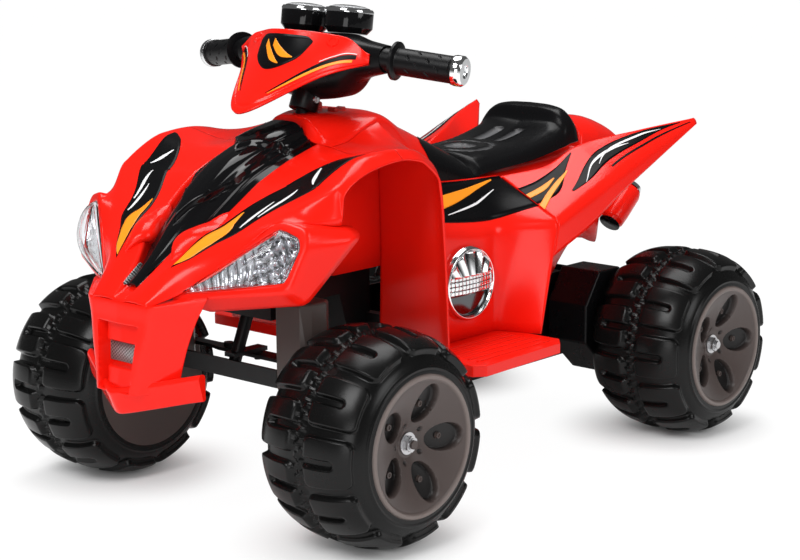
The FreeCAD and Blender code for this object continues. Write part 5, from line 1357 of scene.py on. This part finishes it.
def lamp(name, spot, aim, energy, size):
    """A soft square lamp that faces a point."""
    data = bpy.data.lights.new(name, "AREA")
    data.energy, data.size = energy, size
    thing = bpy.data.objects.new(name, data)
    thing.location = spot
    thing.rotation_euler = (Vector(aim) - Vector(spot)).to_track_quat("-Z", "Y").to_euler()
    bpy.context.scene.collection.objects.link(thing)


def shown_rays(tree):
    """One for rays that show a thing to the camera, straight or through glass, and zero for the rest; and one
    for mirrored rays."""
    path = tree.nodes.new("ShaderNodeLightPath").outputs
    shown = math_node(tree, "MAXIMUM", path["Is Camera Ray"], path["Is Transmission Ray"])
    return shown, path["Is Glossy Ray"]


def vector_node(tree, operation, value, offset=None):
    """One step on a vector socket."""
    node = tree.nodes.new("ShaderNodeVectorMath")
    node.operation = operation
    tree.links.new(value, node.inputs[0])
    if offset is not None:
        node.inputs[1].default_value = offset
    return node.outputs["Value" if operation == "LENGTH" else "Vector"]


def floor_material():
    """White floor: a diffuse coat that takes shadow, mixed with plain white for the rays that show it, and
    the more so the farther from the nearest wheel's foot."""
    material = bpy.data.materials.new("studio_floor")
    material.use_nodes = True
    tree = material.node_tree
    tree.nodes.clear()
    coat = fill(tree.nodes.new("ShaderNodeBsdfDiffuse"), Color=FLOOR_COLOUR)
    glow = fill(tree.nodes.new("ShaderNodeEmission"), Strength=FLOOR_GLOW)
    mix = tree.nodes.new("ShaderNodeMixShader")
    centre, quarter = (FRONT_WHEEL + REAR_WHEEL) / 2, (REAR_WHEEL - FRONT_WHEEL) / 2
    spot = tree.nodes.new("ShaderNodeTexCoord").outputs["Object"]
    spot = vector_node(tree, "ABSOLUTE", vector_node(tree, "SUBTRACT", spot, (0, centre[1], 0)))
    far = vector_node(tree, "LENGTH", vector_node(tree, "SUBTRACT", spot, (centre[0], quarter[1], 0)))
    near, away = SHADOW_FADE
    reach = fill(tree.nodes.new("ShaderNodeMapRange"), From_Min=near, From_Max=away, To_Max=SHADOW_FADED)
    reach.interpolation_type = "SMOOTHSTEP"
    tree.links.new(far, reach.inputs["Value"])
    shown, _ = shown_rays(tree)
    tree.links.new(math_node(tree, "MULTIPLY", reach.outputs["Result"], shown), mix.inputs["Fac"])
    tree.links.new(coat.outputs[0], mix.inputs[1])
    tree.links.new(glow.outputs[0], mix.inputs[2])
    out = tree.nodes.new("ShaderNodeOutputMaterial")
    tree.links.new(mix.outputs[0], out.inputs["Surface"])
    return material


class QUAD_OT_stage(bpy.types.Operator):
    """Pale floor, soft lamps and the camera"""

    bl_idname = "quad.stage"
    bl_label = "Stage"

    def execute(self, context):
        scene = context.scene
        scene.view_settings.view_transform = "Standard"
        mesh = bpy.data.meshes.new("floor")
        corners = [(x * FLOOR_REACH, y * FLOOR_REACH, 0) for x, y in ((-1, -1), (1, -1), (1, 1), (-1, 1))]
        mesh.from_pydata(corners, [], [(0, 1, 2, 3)])
        mesh.materials.append(floor_material())
        floor = bpy.data.objects.new("floor", mesh)
        scene.collection.objects.link(floor)
        world = bpy.data.worlds.new("studio")
        scene.world = world
        world.use_nodes = True
        tree = world.node_tree
        shown, mirrored_rays = shown_rays(tree)
        plain = math_node(tree, "MULTIPLY_ADD", mirrored_rays, WORLD_MIRRORED, WORLD_STRENGTH)
        strength = math_node(tree, "MULTIPLY_ADD", shown, WORLD_SHOWN, plain)
        back = fill(tree.nodes["Background"], Color=(1, 1, 1, 1))
        tree.links.new(strength, back.inputs["Strength"])
        for name, spot, energy, size in LAMPS:
            lamp(name, spot, LAMP_TARGET, energy, size)
        data = bpy.data.cameras.new("camera")
        data.sensor_width = SENSOR_WIDTH
        data.lens = sizes().camera_lens
        data.shift_x, data.shift_y = CAMERA_SHIFT
        camera = bpy.data.objects.new("camera", data)
        camera.location = CAMERA_PLACE
        look = (Vector(CAMERA_TARGET) - Vector(CAMERA_PLACE)).to_track_quat("-Z", "Y").to_matrix()
        camera.rotation_euler = (look @ Matrix.Rotation(math.radians(CAMERA_ROLL), 3, "Z")).to_euler()
        scene.collection.objects.link(camera)
        scene.camera = camera
        return {"FINISHED"}


OPERATORS = (
    QUAD_OT_shell, QUAD_OT_hood, QUAD_OT_lamps, QUAD_OT_saddle, QUAD_OT_handlebar, QUAD_OT_wheels,
    QUAD_OT_fittings, QUAD_OT_stage)


class QUAD_PT_sidebar(bpy.types.Panel):
    """Sizes, colours and build steps of the quad bike"""

    bl_idname = "QUAD_PT_sidebar"
    bl_label = "Quad bike"
    bl_space_type = "VIEW_3D"
    bl_region_type = "UI"
    bl_category = "Quad bike"

    def draw(self, context):
        for group in (context.scene.quad_sizes, context.scene.quad_colours):
            for name in group.__annotations__:
                self.layout.prop(group, name)
        for operator in OPERATORS:
            self.layout.operator(operator.bl_idname)


CLASSES = (QuadSizes, QuadColours, *OPERATORS, QUAD_PT_sidebar)


def register():
    """Adds the classes and the scene's settings."""
    for item in CLASSES:
        bpy.utils.register_class(item)
    bpy.types.Scene.quad_sizes = PointerProperty(type=QuadSizes)
    bpy.types.Scene.quad_colours = PointerProperty(type=QuadColours)


def unregister():
    """Takes the scene's settings and the classes away again."""
    del bpy.types.Scene.quad_colours
    del bpy.types.Scene.quad_sizes
    for item in reversed(CLASSES):
        bpy.utils.unregister_class(item)


def main():
    """Registers the add-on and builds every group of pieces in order."""
    register()
    make_finishes()
    for operator in OPERATORS:
        group, name = operator.bl_idname.split(".")
        getattr(getattr(bpy.ops, group), name)()


if __name__ == "__main__":
    main()
